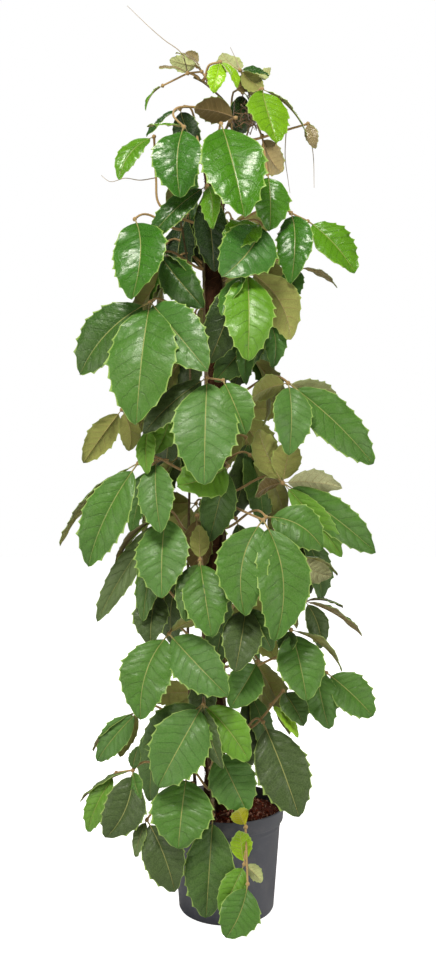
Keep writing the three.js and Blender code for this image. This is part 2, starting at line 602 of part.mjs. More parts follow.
// A whole leaf: stalk, hub, leaflets and tendrils in one body. It stands off its stem by
// the clearance, or is sunk well into it.
function leafSolid(leaf, stem, centres, seed, sunk = false) {
  const spots = leaf.stalk.map(spot);
  const { centre, tangent, radius } = stemAt(stem, centres, leaf.from);
  const away = spots[0].clone().sub(centre);
  const outward = away.addScaledVector(tangent, -away.dot(tangent)).normalize();
  const root = centre.clone().addScaledVector(outward, sunk ? 0 : radius + CLEARANCE);
  const hub = spots[spots.length - 1];
  const curve = stalkCurve(root, outward, spots);
  const steps = STALK.steps + STALK.perSpot * (spots.length - 1);
  const bearing = THREE.MathUtils.radToDeg(Math.atan2(hub.x - POLE.x, POLE.y - hub.y));
  const facing = levelDirection(FACING_SHARE * bearing).setZ(0.25);
  const parts = [rod(curve, steps, STALK.sides, STALK.root, STALK.end).solid, hubKnob(hub)];
  const knots = (leaf.knots ?? []).map(spot);
  for (const knot of knots) parts.push(stalkletSolid(hub, knot));
  leaf.blades.forEach(([across, up, front, width, turn, bend = 0, knot], i) => {
    const form = { width, turn, bend };
    parts.push(bladeSolid(knots[knot] ?? hub, spot([across, up, front]), facing, form, seed + i));
  });
  for (const tendril of leaf.tendrils ?? []) parts.push(tendrilSolid(tendril.map(spot)));
  return joined(parts);
}

// A leaf of the back stem, sunk well into it.
function backLeafSolid(index, centres) {
  const seed = 2000 + 10 * index;
  const draw = seededDraw(seed);
  const side = BACK.sides[index - BACK.leaves];
  const ruled = THREE.MathUtils.lerp(BACK.lowest, BACK.highest, index / (BACK.leaves - 1));
  const [z, mean] = side ?? [ruled, BACK.bearings[index % BACK.bearings.length]];
  const bearing = mean + 12 * (draw() - 0.5);
  const outward = levelDirection(bearing);
  const aside = Math.cos(radians(bearing)) > -0.8;
  const backward = bearing < 180 ? 1 : -1;
  const reach = aside ? BACK.nearReach : BACK.reach;
  const hub = outward.clone().multiplyScalar(reach).add(vector(POLE.x, POLE.y, z));
  const { centre } = stemAt(STEMS.back, centres, Math.min(z - 30, 1540));
  const curve = stalkCurve(centre, outward, [hub]);
  const parts = [rod(curve, STALK.steps, STALK.sides, STALK.root, STALK.end).solid, hubKnob(hub)];
  const tangent = levelDirection(bearing + 90);
  BACK.fan.forEach((fan, i) => {
    if (aside && fan * backward < -60) return;
    if (side && Math.abs(fan) > 60) return;
    if (index === BACK.leaves - 1 && fan > 0) return;
    const length = BACK.length * BACK.lengths[i] * (0.9 + 0.2 * draw());
    const lean = BACK.lean * (0.7 + 0.6 * draw());
    const way = tangent.clone().multiplyScalar(Math.sin(radians(fan)));
    way.z = -Math.cos(radians(fan));
    const tip = hub.clone().addScaledVector(way, length).addScaledVector(outward, lean * length);
    const form = { width: length * BACK.slim, turn: 14 * (draw() - 0.5), bend: 0.1 * (draw() - 0.5) };
    parts.push(bladeSolid(hub, tip, outward, form, seed + 1 + i));
  });
  return joined(parts);
}

// The whole plant
const vine = new THREE.Group();

function addPiece(name, solid, material) {
  const mesh = new THREE.Mesh(geometryOf(solid), material);
  mesh.name = name;
  vine.add(mesh);
}

const grown = Object.fromEntries(Object.entries(STEMS).map(([key, stem]) => [key, growStem(stem)]));
const holes = [poleSolid(CLEARANCE), ...Object.values(STEMS).map((stem) => growStem(stem, CLEARANCE).solid)];
addPiece("pot", potSolid(), potPlastic);
addPiece("soil", soilSolid(holes), pottingSoil);
addPiece("coir_pole", poleSolid(0), coirFibre);
for (const key of ["left", "right", "outer"]) addPiece(STEMS[key].node, grown[key].solid, stemBark);
const backCount = BACK.leaves + BACK.sides.length;
const backLeaves = [...Array(backCount).keys()].map((index) => backLeafSolid(index, grown.back.centres));
const innerLeaves = INNER_LEAVES.map((leaf, index) =>
  leafSolid(leaf, STEMS.back, grown.back.centres, 3000 + 10 * index, true));
addPiece(STEMS.back.node, joined([grown.back.solid, ...backLeaves, ...innerLeaves]), leafGreen);
LEAVES.forEach((leaf, index) => {
  const { centres } = grown[leaf.stem];
  addPiece(leaf.name, leafSolid(leaf, STEMS[leaf.stem], centres, 1000 + 10 * index), leafGreen);
});

export default vine;
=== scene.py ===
# %% [markdown]
# # A potted chestnut vine
# A chestnut vine climbs: four stems wind up a coir pole in a nursery pot and hold out
# hand-shaped leaves of three to five big toothed leaflets. It could be made from one leaf
# copied about, but then every leaf would hang alike. Here each leaf repeats the rows of
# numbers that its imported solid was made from, so the finer leaf lies on the solid.

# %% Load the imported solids
import math
import bpy
import numpy as np
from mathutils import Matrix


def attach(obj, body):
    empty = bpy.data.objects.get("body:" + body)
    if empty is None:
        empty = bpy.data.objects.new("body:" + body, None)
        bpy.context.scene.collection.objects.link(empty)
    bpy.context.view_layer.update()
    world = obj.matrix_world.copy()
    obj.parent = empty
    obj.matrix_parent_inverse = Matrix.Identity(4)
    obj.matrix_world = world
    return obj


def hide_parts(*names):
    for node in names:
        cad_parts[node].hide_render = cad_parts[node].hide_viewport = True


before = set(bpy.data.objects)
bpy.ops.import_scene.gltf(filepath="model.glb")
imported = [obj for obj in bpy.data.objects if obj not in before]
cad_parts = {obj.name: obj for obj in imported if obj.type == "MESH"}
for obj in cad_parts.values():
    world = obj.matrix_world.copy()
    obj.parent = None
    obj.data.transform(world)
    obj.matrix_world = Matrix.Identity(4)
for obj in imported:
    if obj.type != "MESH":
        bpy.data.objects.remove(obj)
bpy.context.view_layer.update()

# %% [markdown]
# The picture was taken level with the middle of the plant, from about two metres away. A
# shift lens could do that too, but a plain lens at that height needs no correction. Its
# sensor height is fixed, so that the upright frame keeps its angle of view.

# %% Camera
MM = 0.001
EYE = dict(distance=1950, side=-17.4, height=880)

eye = bpy.data.cameras.new("eye")
eye.sensor_fit = "VERTICAL"
eye.sensor_height = 36
eye.lens = 35.25
eye.clip_end = 30
camera = bpy.data.objects.new("camera", eye)
camera.location = (EYE["side"] * MM, -EYE["distance"] * MM, EYE["height"] * MM)
camera.rotation_euler = (math.radians(90), 0, 0)
bpy.context.collection.objects.link(camera)
bpy.context.scene.camera = camera
print("camera at", tuple(camera.location))

# %% [markdown]
# The light is that of a bright white room: one large soft window high in front, a weaker
# one low on each side and one behind for the leaf edges. Small lamps would put hard spots
# on glossy leaves. Windows this large give the broad sheen that such leaves have. The room
# itself glows only faintly, or its reflection would make every green look milky.

# %% Light
WARM_WHITE = (1.0, 0.97, 0.87)
ROOM_GLOW = 0.14
WINDOWS = dict(
    front_window=dict(place=(-0.6, -2.1, 3.7), aim=(0, 0, 1.0), size=(1.1, 0.9), power=112),
    right_window=dict(place=(2.6, -1.8, 1.0), aim=(0, 0, 0.6), size=(1.0, 1.8), power=30),
    left_window=dict(place=(-2.6, -1.8, 0.9), aim=(0, 0, 0.5), size=(1.0, 1.8), power=28),
    back_window=dict(place=(0.4, 2.2, 2.8), aim=(0, 0, 1.1), size=(2.0, 1.2), power=30),
)


def soft_window(name, place, aim, size, power):
    """An area lamp at a place, turned to a point."""
    lamp = bpy.data.lights.new(name, "AREA")
    lamp.shape = "RECTANGLE"
    lamp.size, lamp.size_y = size
    lamp.energy = power
    lamp.color = WARM_WHITE
    window = bpy.data.objects.new(name, lamp)
    window.location = place
    way = np.array(place, float) - np.array(aim, float)
    yaw = math.atan2(way[0], -way[1])
    pitch = math.atan2(math.hypot(way[0], way[1]), way[2])
    window.rotation_euler = (pitch, 0, yaw)
    bpy.context.collection.objects.link(window)


for name, window in WINDOWS.items():
    soft_window(name, **window)
room = bpy.data.worlds.new("white_room")
room.use_nodes = True
glow = room.node_tree.nodes["Background"].inputs
glow["Color"].default_value = (1, 1, 1, 1)
seen = room.node_tree.nodes.new("ShaderNodeLightPath")
level = room.node_tree.nodes.new("ShaderNodeMapRange")
level.inputs["To Min"].default_value = ROOM_GLOW
level.inputs["To Max"].default_value = 1.0
room.node_tree.links.new(seen.outputs["Is Camera Ray"], level.inputs["Value"])
room.node_tree.links.new(level.outputs[0], glow["Strength"])
bpy.context.scene.world = room
bpy.context.scene.view_settings.view_transform = "Standard"

# %% [markdown]
# The floor is a wide round sheet of white paper under a white room. A sweep that curves up
# into a wall would hide the plant when it is looked at from behind. Here paper and room
# are seen equally white, so that no horizon shows from any side.

# %% Floor
SHEET = dict(radius=9.0, rings=6, sides=48)


def round_sheet(radius, rings, sides):
    """A flat round sheet on the ground."""
    turn = 2 * np.pi * np.arange(sides) / sides
    reach = [radius * k / rings for k in range(1, rings + 1)]
    corners = [(0.0, 0.0, 0.0)]
    corners += [(r * math.cos(a), r * math.sin(a), 0.0) for r in reach for a in turn]
    faces = [(0, 1 + k, 1 + (k + 1) % sides) for k in range(sides)]
    for row in range(rings - 1):
        near, far = 1 + row * sides, 1 + (row + 1) * sides
        for k in range(sides):
            after = (k + 1) % sides
            faces.append((near + k, far + k, far + after, near + after))
    mesh = bpy.data.meshes.new("paper_sheet")
    mesh.from_pydata(corners, [], faces)
    sheet = bpy.data.objects.new("paper_sheet", mesh)
    bpy.context.collection.objects.link(sheet)
    return sheet


floor = round_sheet(**SHEET)
paper = bpy.data.materials.new("white_paper")
paper.use_nodes = True
paper_shader = paper.node_tree.nodes["Principled BSDF"]
paper_shader.inputs["Base Color"].default_value = (0.86, 0.86, 0.86, 1)
paper_shader.inputs["Roughness"].default_value = 0.9
paper_shader.inputs["Emission Color"].default_value = (1, 1, 1, 1)
lit = paper.node_tree.nodes.new("ShaderNodeLightPath")
paper.node_tree.links.new(lit.outputs["Is Camera Ray"], paper_shader.inputs["Emission Strength"])
floor.data.materials.append(paper)
print("paper corners:", len(floor.data.vertices))

# %% [markdown]
# Every size below is in millimetres, as the plant was measured. Leaves were measured from
# the front, so a spot is its place across and up in the plane of the pot's axis, and how
# far it stands in front of that plane along the line of sight. The same small rule for
# even draws as in the solids gives each leaflet the same arch and fold again.

# %% Sizes and helpers
POLE = dict(x=-24, y=5, radius=22, bottom=40, top=1585)
SOIL_TOP = 194


def spot(place):
    """The real place of a spot measured from the front."""
    across, up, front = place
    share = (EYE["distance"] - front) / EYE["distance"]
    side, height = EYE["side"], EYE["height"]
    return np.array([side + (across - side) * share, -front, height + (up - height) * share])


def beside_pole(outward, reach, z):
    """The place at a height that lies a reach away from the pole's axis."""
    return outward * reach + np.array([POLE["x"], POLE["y"], z])


def level_direction(bearing):
    """0 is the front, 90 the right and 180 the back."""
    return np.array([math.sin(math.radians(bearing)), -math.cos(math.radians(bearing)), 0.0])


def seeded_draw(seed):
    """Even draws from 0 to 1 that come out the same on every run."""
    state = [seed * 48271 % 2147483647]

    def draw():
        state[0] = state[0] * 16807 % 2147483647
        return state[0] / 2147483647
    return draw


def unit(v):
    """A vector of length one."""
    return v / np.linalg.norm(v)


def round_angles(count):
    """Angles that go once round."""
    return 2 * np.pi * np.arange(count) / count


def colour(red, green, blue):
    """A colour as a paint chart gives it, from 0 to 255, made linear for the shaders."""
    parts = [c / 255 for c in (red, green, blue)]
    return tuple(c / 12.92 if c <= 0.04045 else ((c + 0.055) / 1.055) ** 2.4 for c in parts)


print("a spot 100 in front:", spot((0, 1000, 100)).round(1))

# %% [markdown]
# A mesh is gathered from patches: each patch is a grid or a ring of points with its faces,
# its finish, where each point lies on its leaflet and its own tone. Many small objects
# would do as well, but one object for each leaf keeps the scene light.

# %% Patches to mesh
def grid_faces(rows, columns, around=False):
    """The four-sided faces of a grid of points, closed on itself if it goes around."""
    reach = columns if around else columns - 1
    row, column = np.meshgrid(np.arange(rows - 1), np.arange(reach), indexing="ij")
    after = (column + 1) % columns
    corners = (row * columns + column, row * columns + after,
        (row + 1) * columns + after, (row + 1) * columns + column)
    return np.stack(corners, -1).reshape(-1, 4)


def patch(points, faces, finish=0, tone=(0.5, 0.5, 0.5), place=None):
    """One piece of surface: points, faces, finish number, tone and place on the leaflet."""
    points = np.asarray(points, float).reshape(-1, 3)
    tones = np.broadcast_to(np.asarray(tone, float).reshape(-1, 3), (len(points), 3))
    place = np.zeros((len(points), 2)) if place is None else np.reshape(place, (-1, 2))
    return dict(points=points, faces=np.asarray(faces, int), finish=finish, tones=tones, place=place)


def piece(name, patches, finishes, node=None):
    """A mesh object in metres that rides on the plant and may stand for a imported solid."""
    def gathered(key):
        return np.concatenate([p[key] for p in patches])

    counts = [len(p["faces"]) for p in patches]
    starts = np.cumsum([0] + [len(p["points"]) for p in patches])
    corners = np.concatenate([(p["faces"] + s).ravel() for p, s in zip(patches, starts)])
    sides = np.repeat([p["faces"].shape[1] for p in patches], counts)
    mesh = bpy.data.meshes.new(name)
    mesh.vertices.add(starts[-1])
    mesh.vertices.foreach_set("co", (gathered("points") * MM).ravel())
    mesh.loops.add(len(corners))
    mesh.loops.foreach_set("vertex_index", corners)
    mesh.polygons.add(len(sides))
    mesh.polygons.foreach_set("loop_start", np.cumsum(sides) - sides)
    mesh.update(calc_edges=True)
    mesh.polygons.foreach_set("material_index", np.repeat([p["finish"] for p in patches], counts))
    mesh.uv_layers.new(name="leaflet").uv.foreach_set("vector", gathered("place")[corners].ravel())
    tones = np.append(gathered("tones"), np.ones((starts[-1], 1)), 1)
    mesh.color_attributes.new("tone", "FLOAT_COLOR", "POINT").data.foreach_set("color", tones.ravel())
    mesh.shade_smooth()
    for finish in finishes:
        mesh.materials.append(finish)
    made = bpy.data.objects.new(name, mesh)
    bpy.context.collection.objects.link(made)
    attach(made, "root")
    if node:
        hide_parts(node)
    return made


print("one square:", grid_faces(2, 2).tolist())

# %% [markdown]
# Stems, stalks, ribs and tendrils are all tubes round a smooth curve. A curve object with a
# bevel would be quicker to write, but its ends stay open and it can't thicken at a joint of
# the stem, so the rings are set here one by one, without twisting.

# %% Curves and tubes
def smooth_curve(spots, count):
    """Points evenly along a smooth curve through the spots, with no overshoot between them."""
    knots = np.array([2 * spots[0] - spots[1], *spots, 2 * spots[-1] - spots[-2]])
    t = np.linspace(0, 1, 25)[:, None]
    found = []
    for a, b, c, d in zip(knots, knots[1:], knots[2:], knots[3:]):
        pairs = ((a, b), (b, c), (c, d))
        into, over, out = [max(math.sqrt(np.linalg.norm(q - p)), 1e-4) for p, q in pairs]
        leave = over * ((b - a) / into - (c - a) / (into + over) + (c - b) / over)
        arrive = over * ((c - b) / over - (d - b) / (over + out) + (d - c) / out)
        found.append((2 * t**3 - 3 * t**2 + 1) * b + (t**3 - 2 * t**2 + t) * leave
            + (3 * t**2 - 2 * t**3) * c + (t**3 - t**2) * arrive)
    return evenly(np.concatenate(found), count)


def evenly(line, count):
    """The same line with its points at even distances."""
    far = np.concatenate([[0], np.cumsum(np.linalg.norm(np.diff(line, axis=0), axis=1))])
    at = np.linspace(0, far[-1], count)
    return np.stack([np.interp(at, far, line[:, k]) for k in range(3)], 1)


def arch_curve(a, b, c, d, count):
    """A cubic arch from a to d that leaves towards b and arrives from c."""
    t = np.linspace(0, 1, 60)[:, None]
    return evenly((1 - t)**3 * a + 3 * (1 - t)**2 * t * b + 3 * (1 - t) * t**2 * c + t**3 * d, count)


def tube(line, radii, sides=8, finish=0, tone=(0.5, 0.5, 0.5), rough=0.0, rng=None):
    """A closed tube of rings round a line, which may be rough."""
    line = np.asarray(line, float)
    ahead = np.gradient(line, axis=0)
    ahead /= np.maximum(np.linalg.norm(ahead, axis=1), 1e-9)[:, None]
    aside = [0.31, 0.17, 0.93] if abs(ahead[0][2]) < 0.8 else [0.9, 0.3, 0.1]
    across = unit(np.cross(ahead[0], aside))
    turn = round_angles(sides)
    rings = []
    for centre, way, radius in zip(line, ahead, np.broadcast_to(radii, len(line))):
        across = unit(across - way * across.dot(way))
        other = np.cross(way, across)
        lumps = 1 + rough * (rng.random(sides) - 0.5) if rough else np.ones(sides)
        ring = np.outer(np.cos(turn) * lumps, across) + np.outer(np.sin(turn) * lumps, other)
        rings.append(centre + radius * ring)
    rings = np.concatenate(rings)
    tones = np.broadcast_to(np.reshape(tone, (-1, 3)), (len(line), 3)).repeat(sides, 0)
    steps = (np.linspace(0, 1, len(line)), np.linspace(0, 1, sides))
    place = np.stack(np.meshgrid(*steps, indexing="ij"), -1)
    cap = [list(range(sides))]
    return [patch(rings, grid_faces(len(line), sides, around=True), finish, tones, place),
        patch(rings[:sides], [cap[0][::-1]], finish, tones[:sides]),
        patch(rings[-sides:], cap, finish, tones[-sides:])]


print("points on a test curve:", len(smooth_curve(np.array([[0, 0, 0], [1, 1, 1], [9, 0, 20.0]]), 12)))

# %% [markdown]
# A leaflet is a toothed blade that is widest past its middle. Its arch, its fold along the
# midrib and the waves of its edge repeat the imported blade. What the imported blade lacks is
# added: six to nine small teeth a side, the quilted skin between the side veins and the sunk
# midrib. Displacement by a shader would be lost on export, so all of it is in the mesh.

# %% Leaflet outline
BLADE = dict(neck=0.08, bow=0.1, fold=0.16, wave=0.05, widest=0.9, full=0.72, thickness=0.7, margin=1.03)
ACROSS = np.array([-1, -0.93, -0.8, -0.64, -0.48, -0.32, -0.16, -0.05, 0,
    0.05, 0.16, 0.32, 0.48, 0.64, 0.8, 0.93, 1])
FEWER_ACROSS = np.array([-1, -0.9, -0.64, -0.32, -0.08, 0, 0.08, 0.32, 0.64, 0.9, 1])
TOOTH = dict(length=19, fewest=6, most=9, depth=0.054, tip=0.74, curl=0.6)
TOOTH_STEPS = np.array([0, 0.3, 0.58, 0.74, 0.84, 0.92])
SIDE_VEINS = 8
VEIN_SWEEP = 0.17
SIDE_SHIFT = 0.35
QUILT = dict(relief=2.2, old=1.5, old_below=1000, least=0.45, most=1.25)
GROOVE, RIPPLE, BUCKLE, DROOP = 0.7, 0.022, 0.03, 0.05


def half_width(u, width):
    """Half the width of a blade at the share u of its length."""
    return 0.5 * width * np.sin(np.pi * np.clip(u, 0, 1) ** BLADE["widest"]).clip(0) ** BLADE["full"]


def tooth_rows(teeth):
    """The stations along a blade, how far the tooth of each has risen, and which tooth it is."""
    tooth = np.repeat(np.arange(teeth), len(TOOTH_STEPS))
    step = np.tile(TOOTH_STEPS, teeth)
    up, down = (step / TOOTH["tip"]) ** 2.0, ((1 - step) / (1 - TOOTH["tip"])) ** 1.6
    rise = np.where(step <= TOOTH["tip"], up, down)
    return np.append((tooth + step) / teeth, 1.0), np.append(rise, 0.0), np.append(tooth, teeth - 1)


def edge_waves(draw, width, u):
    """The waves of both edges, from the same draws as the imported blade."""
    coarse = 4 if width >= 84 else 3 if width >= 42 else 2
    knots = np.zeros((2, coarse + 1))
    for k in range(1, coarse):
        for side in (0, 1):
            knots[side, k] = BLADE["wave"] * width * (draw() - 0.5)
    stretch = u * coarse
    low = np.clip(stretch.astype(int), 0, coarse - 1)
    ease = (1 - np.cos(np.pi * (stretch - low))) / 2
    return [row[low] * (1 - ease) + row[low + 1] * ease for row in knots]


print("rows on a blade of eight teeth:", len(tooth_rows(8)[0]))

# %% [markdown]
# The skin of a leaflet is two sheets 0.7 mm apart, joined by a thin rim. They share no
# corners, so that each is shaded smooth and the pale margin stays crisp. The faces of both
# are split along the same diagonals, or one sheet would poke through the other where the
# skin is steep. The stalk of the leaflet runs on as a rib along its underside, thinner
# towards the tip.

# %% Leaflet mesh
MARGIN_TONE = colour(172, 202, 104)
STALK_TONE = colour(172, 142, 96)
LEAF_SIDES = dict(top=0, under=1, stalk=2, bark=3)


def turned(vector, axis, degrees):
    """A vector turned about an axis."""
    angle = math.radians(degrees)
    held = axis * axis.dot(vector) * (1 - math.cos(angle))
    return vector * math.cos(angle) + np.cross(axis, vector) * math.sin(angle) + held


def skin_relief(detail, u, s, half, width, depth, base_height):
    """How far ripples, quilting, buckles and droop lift the skin, and how deep the midrib lies."""
    far = np.abs(s)
    ripple_turns = u[:, None] * (2.6 + detail.random()) + detail.random() + 0.3 * s
    ripple = RIPPLE * width * np.sin(2 * np.pi * ripple_turns) * s**2
    ripple = ripple + TOOTH["curl"] * depth * far**5 * detail.uniform(-1, 1)
    vein = (u[:, None] - VEIN_SWEEP * far ** 1.2) * SIDE_VEINS + np.where(s < 0, SIDE_SHIFT, 0)
    pillow = np.abs(np.sin(np.pi * vein)) ** 0.6 * np.clip(far / 0.2, 0, 1)
    pillow = pillow * np.clip((1 - far) / 0.2, 0, 1)
    fields = detail.uniform(QUILT["least"], QUILT["most"], (2, SIDE_VEINS + 3))
    uneven = fields[(s > 0).astype(int), np.clip(vein.astype(int) + 1, 0, SIDE_VEINS + 2)]
    old = QUILT["old"] if base_height < QUILT["old_below"] else 1.0
    quilt = QUILT["relief"] * old * uneven * pillow * np.clip(half / 25, 0, 1)[:, None]
    groove = GROOVE * np.clip(1 - far / 0.09, 0, 1) * np.clip(half / 12, 0, 1)[:, None]
    buckle_turns = 1.3 * u[:, None] + detail.random()
    buckle = BUCKLE * width * np.sin(2 * np.pi * buckle_turns + 2.2 * s) * far**1.3
    droop = -DROOP * width * far**2.5 * detail.uniform(0.2, 1.2) * np.sin(np.pi * u[:, None])
    return ripple + buckle + droop + quilt, groove


def leaflet(base, tip, facing, width, turn, bend, seed, top_tone, under_tone, stations=ACROSS):
    """The patches of one leaflet: upper side, underside, rim and rib."""
    draw = seeded_draw(seed)
    detail = np.random.default_rng(seed)
    length = np.linalg.norm(tip - base)
    along = (tip - base) / length
    up = turned(unit(facing - along * facing.dot(along)), along, turn)
    side = np.cross(up, along)
    bow = BLADE["bow"] * length * (0.6 + 0.8 * draw())
    fold = BLADE["fold"] * (0.4 + 1.2 * draw())
    teeth = int(np.clip(round(length / TOOTH["length"]), TOOTH["fewest"], TOOTH["most"]))
    u, rise, tooth = tooth_rows(teeth)
    left, right = edge_waves(draw, width, u)
    half = BLADE["margin"] * half_width(u, width)
    s = stations[None, :]
    across = half[:, None] * s
    reach = TOOTH["depth"] * width
    depth = reach * np.clip((u - 0.06) / 0.3, 0, 1) * np.clip((1 - u) / 0.08, 0, 1)
    for column in (0, -1):
        out = depth * rise * (0.45 + 1.0 * detail.random(teeth))[tooth]
        across[:, column] += out * stations[column]
    t = BLADE["neck"] + (1 - BLADE["neck"]) * u[:, None]
    t = t + 0.35 * np.abs(s) ** 12 * (depth * rise / length)[:, None]
    wave = np.where(s > 0, left[:, None], right[:, None]) * np.abs(s) ** 1.5
    relief, groove = skin_relief(detail, u, s, half, width, reach * (rise - 0.3)[:, None], base[2])
    lift = fold * np.abs(across) + wave + relief

    def place(t, across, lift):
        swell = (4 * t * (1 - t))[..., None]
        return (base + along * (t * length)[..., None] + up * (swell * bow + lift[..., None])
            + side * (swell * bend * length + across[..., None]))

    half_skin = BLADE["thickness"] / 2
    top = place(t, across, lift - groove + half_skin)
    under = place(t, across, lift - half_skin)
    steps = (np.broadcast_to(u[:, None], across.shape), np.broadcast_to(0.5 + 0.5 * s, across.shape))
    spread = np.stack(steps, -1)
    faces = grid_faces(len(u), len(stations))
    patches = [patch(top, faces[:, [0, 3, 2, 1]], LEAF_SIDES["top"], top_tone, spread),
        patch(under, faces, LEAF_SIDES["under"], under_tone, spread)]
    rim = 0.45 * np.array(top_tone) + 0.55 * np.array(MARGIN_TONE)
    strip = grid_faces(len(u), 2)
    for column, faces in ((0, strip), (-1, strip[:, ::-1])):
        edge = np.stack([top[:, column], under[:, column]], 1)
        patches.append(patch(edge, faces, LEAF_SIDES["top"], rim, np.stack([spread[:, column]] * 2, 1)))
    rib_t = np.concatenate([[-2.5 / length, 0.5 * BLADE["neck"]], np.linspace(BLADE["neck"], 0.97, 13)])
    radius = np.concatenate([[1.6, 1.45], np.linspace(1.4, 0.3, 13)]) * np.clip(width / 70, 0.65, 1.1)
    rib = place(rib_t, np.zeros(15), np.where(rib_t > BLADE["neck"], -0.9 * radius, 0))
    rib_tone = 0.5 * np.array(under_tone) + 0.5 * np.array(STALK_TONE)
    return patches + tube(rib, radius, 6, LEAF_SIDES["stalk"], rib_tone)


down = np.array([0, 0, -150.0])
trial = leaflet(np.zeros(3), down, level_direction(0), 80, 0, 0, 7, (0, 1, 0), (1, 1, 0))
print("faces of one leaflet:", sum(len(p["faces"]) for p in trial))

# %% [markdown]
# The stems climb on both sides of the pole and one behind it. Their feet are in the soil,
# and from there each follows its own bearing round the pole, swaying a little. They are
# thickest at the foot and swell at each joint where a leaf stands.

# %% Stems
STEMS = dict(
    left=dict(foot=(-26, -66), radius=4, tip=2, bearing=-50, reach=28, sway=9, joins=430, leaves=1500,
        top=[[-22, 1570, 34], [6, 1625, 26], [-4, 1664, 12], [-26, 1687, 8],
            [-48, 1706, 10], [-68, 1716, 15]]),
    right=dict(foot=(20, -48), radius=3.6, tip=1.6, bearing=42, reach=28, sway=8, joins=450, leaves=1520,
        top=[[51, 1631, 0], [45, 1689, -5], [34, 1722, -8]]),
    outer=dict(foot=(-62, -34), radius=3.4, tip=2, bearing=-66, reach=58, sway=7, joins=500, leaves=1380,
        top=[[-96, 1425, 26]]),
    back=dict(foot=(-20, 52), radius=4, tip=2, bearing=176, reach=29, sway=8, joins=420, leaves=1500,
        top=[[-22, 1560, -50]]),
)


def stem_line(stem):
    """The axis of a stem from 70 mm under the soil to its tip."""
    x, y = stem["foot"]
    spots = [np.array([x, y, SOIL_TOP - 70.0]), np.array([x, y, SOIL_TOP + 12.0])]
    for z in range(stem["joins"], stem["leaves"] + 1, 90):
        bearing = stem["bearing"] + stem["sway"] * math.sin(z / 130)
        spots.append(beside_pole(level_direction(bearing), stem["reach"], z))
    return smooth_curve(spots + [spot(p) for p in stem["top"]], 160)


def stem_at(stem, z):
    """The place, direction and radius of a stem at a height."""
    line = stem["line"]
    k = min(int(np.searchsorted(np.maximum.accumulate(line[:, 2]), z)), len(line) - 2)
    radius = stem["radius"] + (stem["tip"] - stem["radius"]) * k / (len(line) - 1)
    return line[k], unit(line[k + 1] - line[max(k - 1, 0)]), radius


def stem_patches(stem, joints, finish):
    """A stem's tube, swollen at its joints, with a tone that greens towards the tip."""
    rng = np.random.default_rng(int(stem["reach"]) + 5)
    line = stem["line"]
    share = np.linspace(0, 1, len(line))
    radii = stem["radius"] + (stem["tip"] - stem["radius"]) * share
    for z in joints:
        radii = radii + 0.35 * radii * np.exp(-((line[:, 2] - z) / 9) ** 2)
    tone = np.outer(1 - share, colour(72, 52, 40)) + np.outer(share, colour(96, 88, 54))
    return tube(line, np.minimum(radii, stem["radius"] * 1.25), 10, finish, tone, 0.08, rng)


for stem in STEMS.values():
    stem["line"] = stem_line(stem)
print("stem heights:", {key: int(stem["line"][-1][2]) for key, stem in STEMS.items()})

# %% [markdown]
# Each leaf hangs from a velvety tan stalk that springs from the stem, arches out and ends in
# a small knob where the leaflets meet. The stalk is thick at its foot, thin in the middle and
# thicker again at the knob, as the joints of a living stalk are.

# %% Leaf stalks and tendrils
STALK = dict(root=3.1, end=2.3, rise=0.3)
TENDRIL_TONE = colour(168, 150, 122)


def stalk_line(root, outward, spots):
    """The axis of a leaf stalk, through its spots to the knob."""
    knob = spots[-1]
    if len(spots) > 1:
        return smooth_curve([root, root + 3 * STALK["root"] * outward, *spots], 14 + 7 * len(spots))
    reach = np.linalg.norm(knob - root)
    arrive = knob - 0.3 * reach * outward + np.array([0, 0, STALK["rise"] * reach])
    return arch_curve(root, root + 0.35 * reach * outward, arrive, knob, 18)


def stalk_patches(line, tone):
    """A stalk with a swollen foot and knob."""
    share = np.linspace(0, 1, len(line))
    radii = STALK["root"] + (STALK["end"] - STALK["root"]) * share
    foot, end = 0.3 * np.exp(-(share / 0.07) ** 2), 0.22 * np.exp(-((1 - share) / 0.06) ** 2)
    radii = radii * (1 + foot + end - 0.08)
    return tube(line, radii, 9, LEAF_SIDES["stalk"], tone, 0.05, np.random.default_rng(len(line)))


def knob_patches(centre, radius, tone):
    """The round joint where leaflets meet."""
    rows, sides = 7, 10
    polar = np.linspace(0.12, math.pi - 0.12, rows)
    polar, turn = np.meshgrid(polar, round_angles(sides), indexing="ij")
    ball = np.stack([np.sin(polar) * np.cos(turn), np.sin(polar) * np.sin(turn), np.cos(polar)], -1)
    lumps = 1 + 0.12 * np.sin(3 * turn + polar * 2)[..., None]
    faces = grid_faces(rows, sides, around=True)[:, ::-1]
    return [patch(centre + radius * ball * lumps, faces, LEAF_SIDES["stalk"], tone)]


def tendril_patches(spots):
    """A thin tendril that tapers to its end."""
    line = smooth_curve([spot(p) for p in spots], 12 * len(spots))
    return tube(line, np.linspace(1.15, 0.45, len(line)), 6, LEAF_SIDES["stalk"], TENDRIL_TONE)


print("stalk tone:", tuple(round(c, 3) for c in STALK_TONE))

# %% [markdown]
# Young leaves are lime and thin, old ones dark and glossy, and the undersides are felted in
# olive and tan. The blue tone is a green partly painted with the bluish cast of sheen, and the
# dark tone is painted shade for leaves that the light hardly reaches. Naming the tones once
# keeps the rows of the leaf list short: each leaflet gives its upper side and, after a slash,
# its underside.

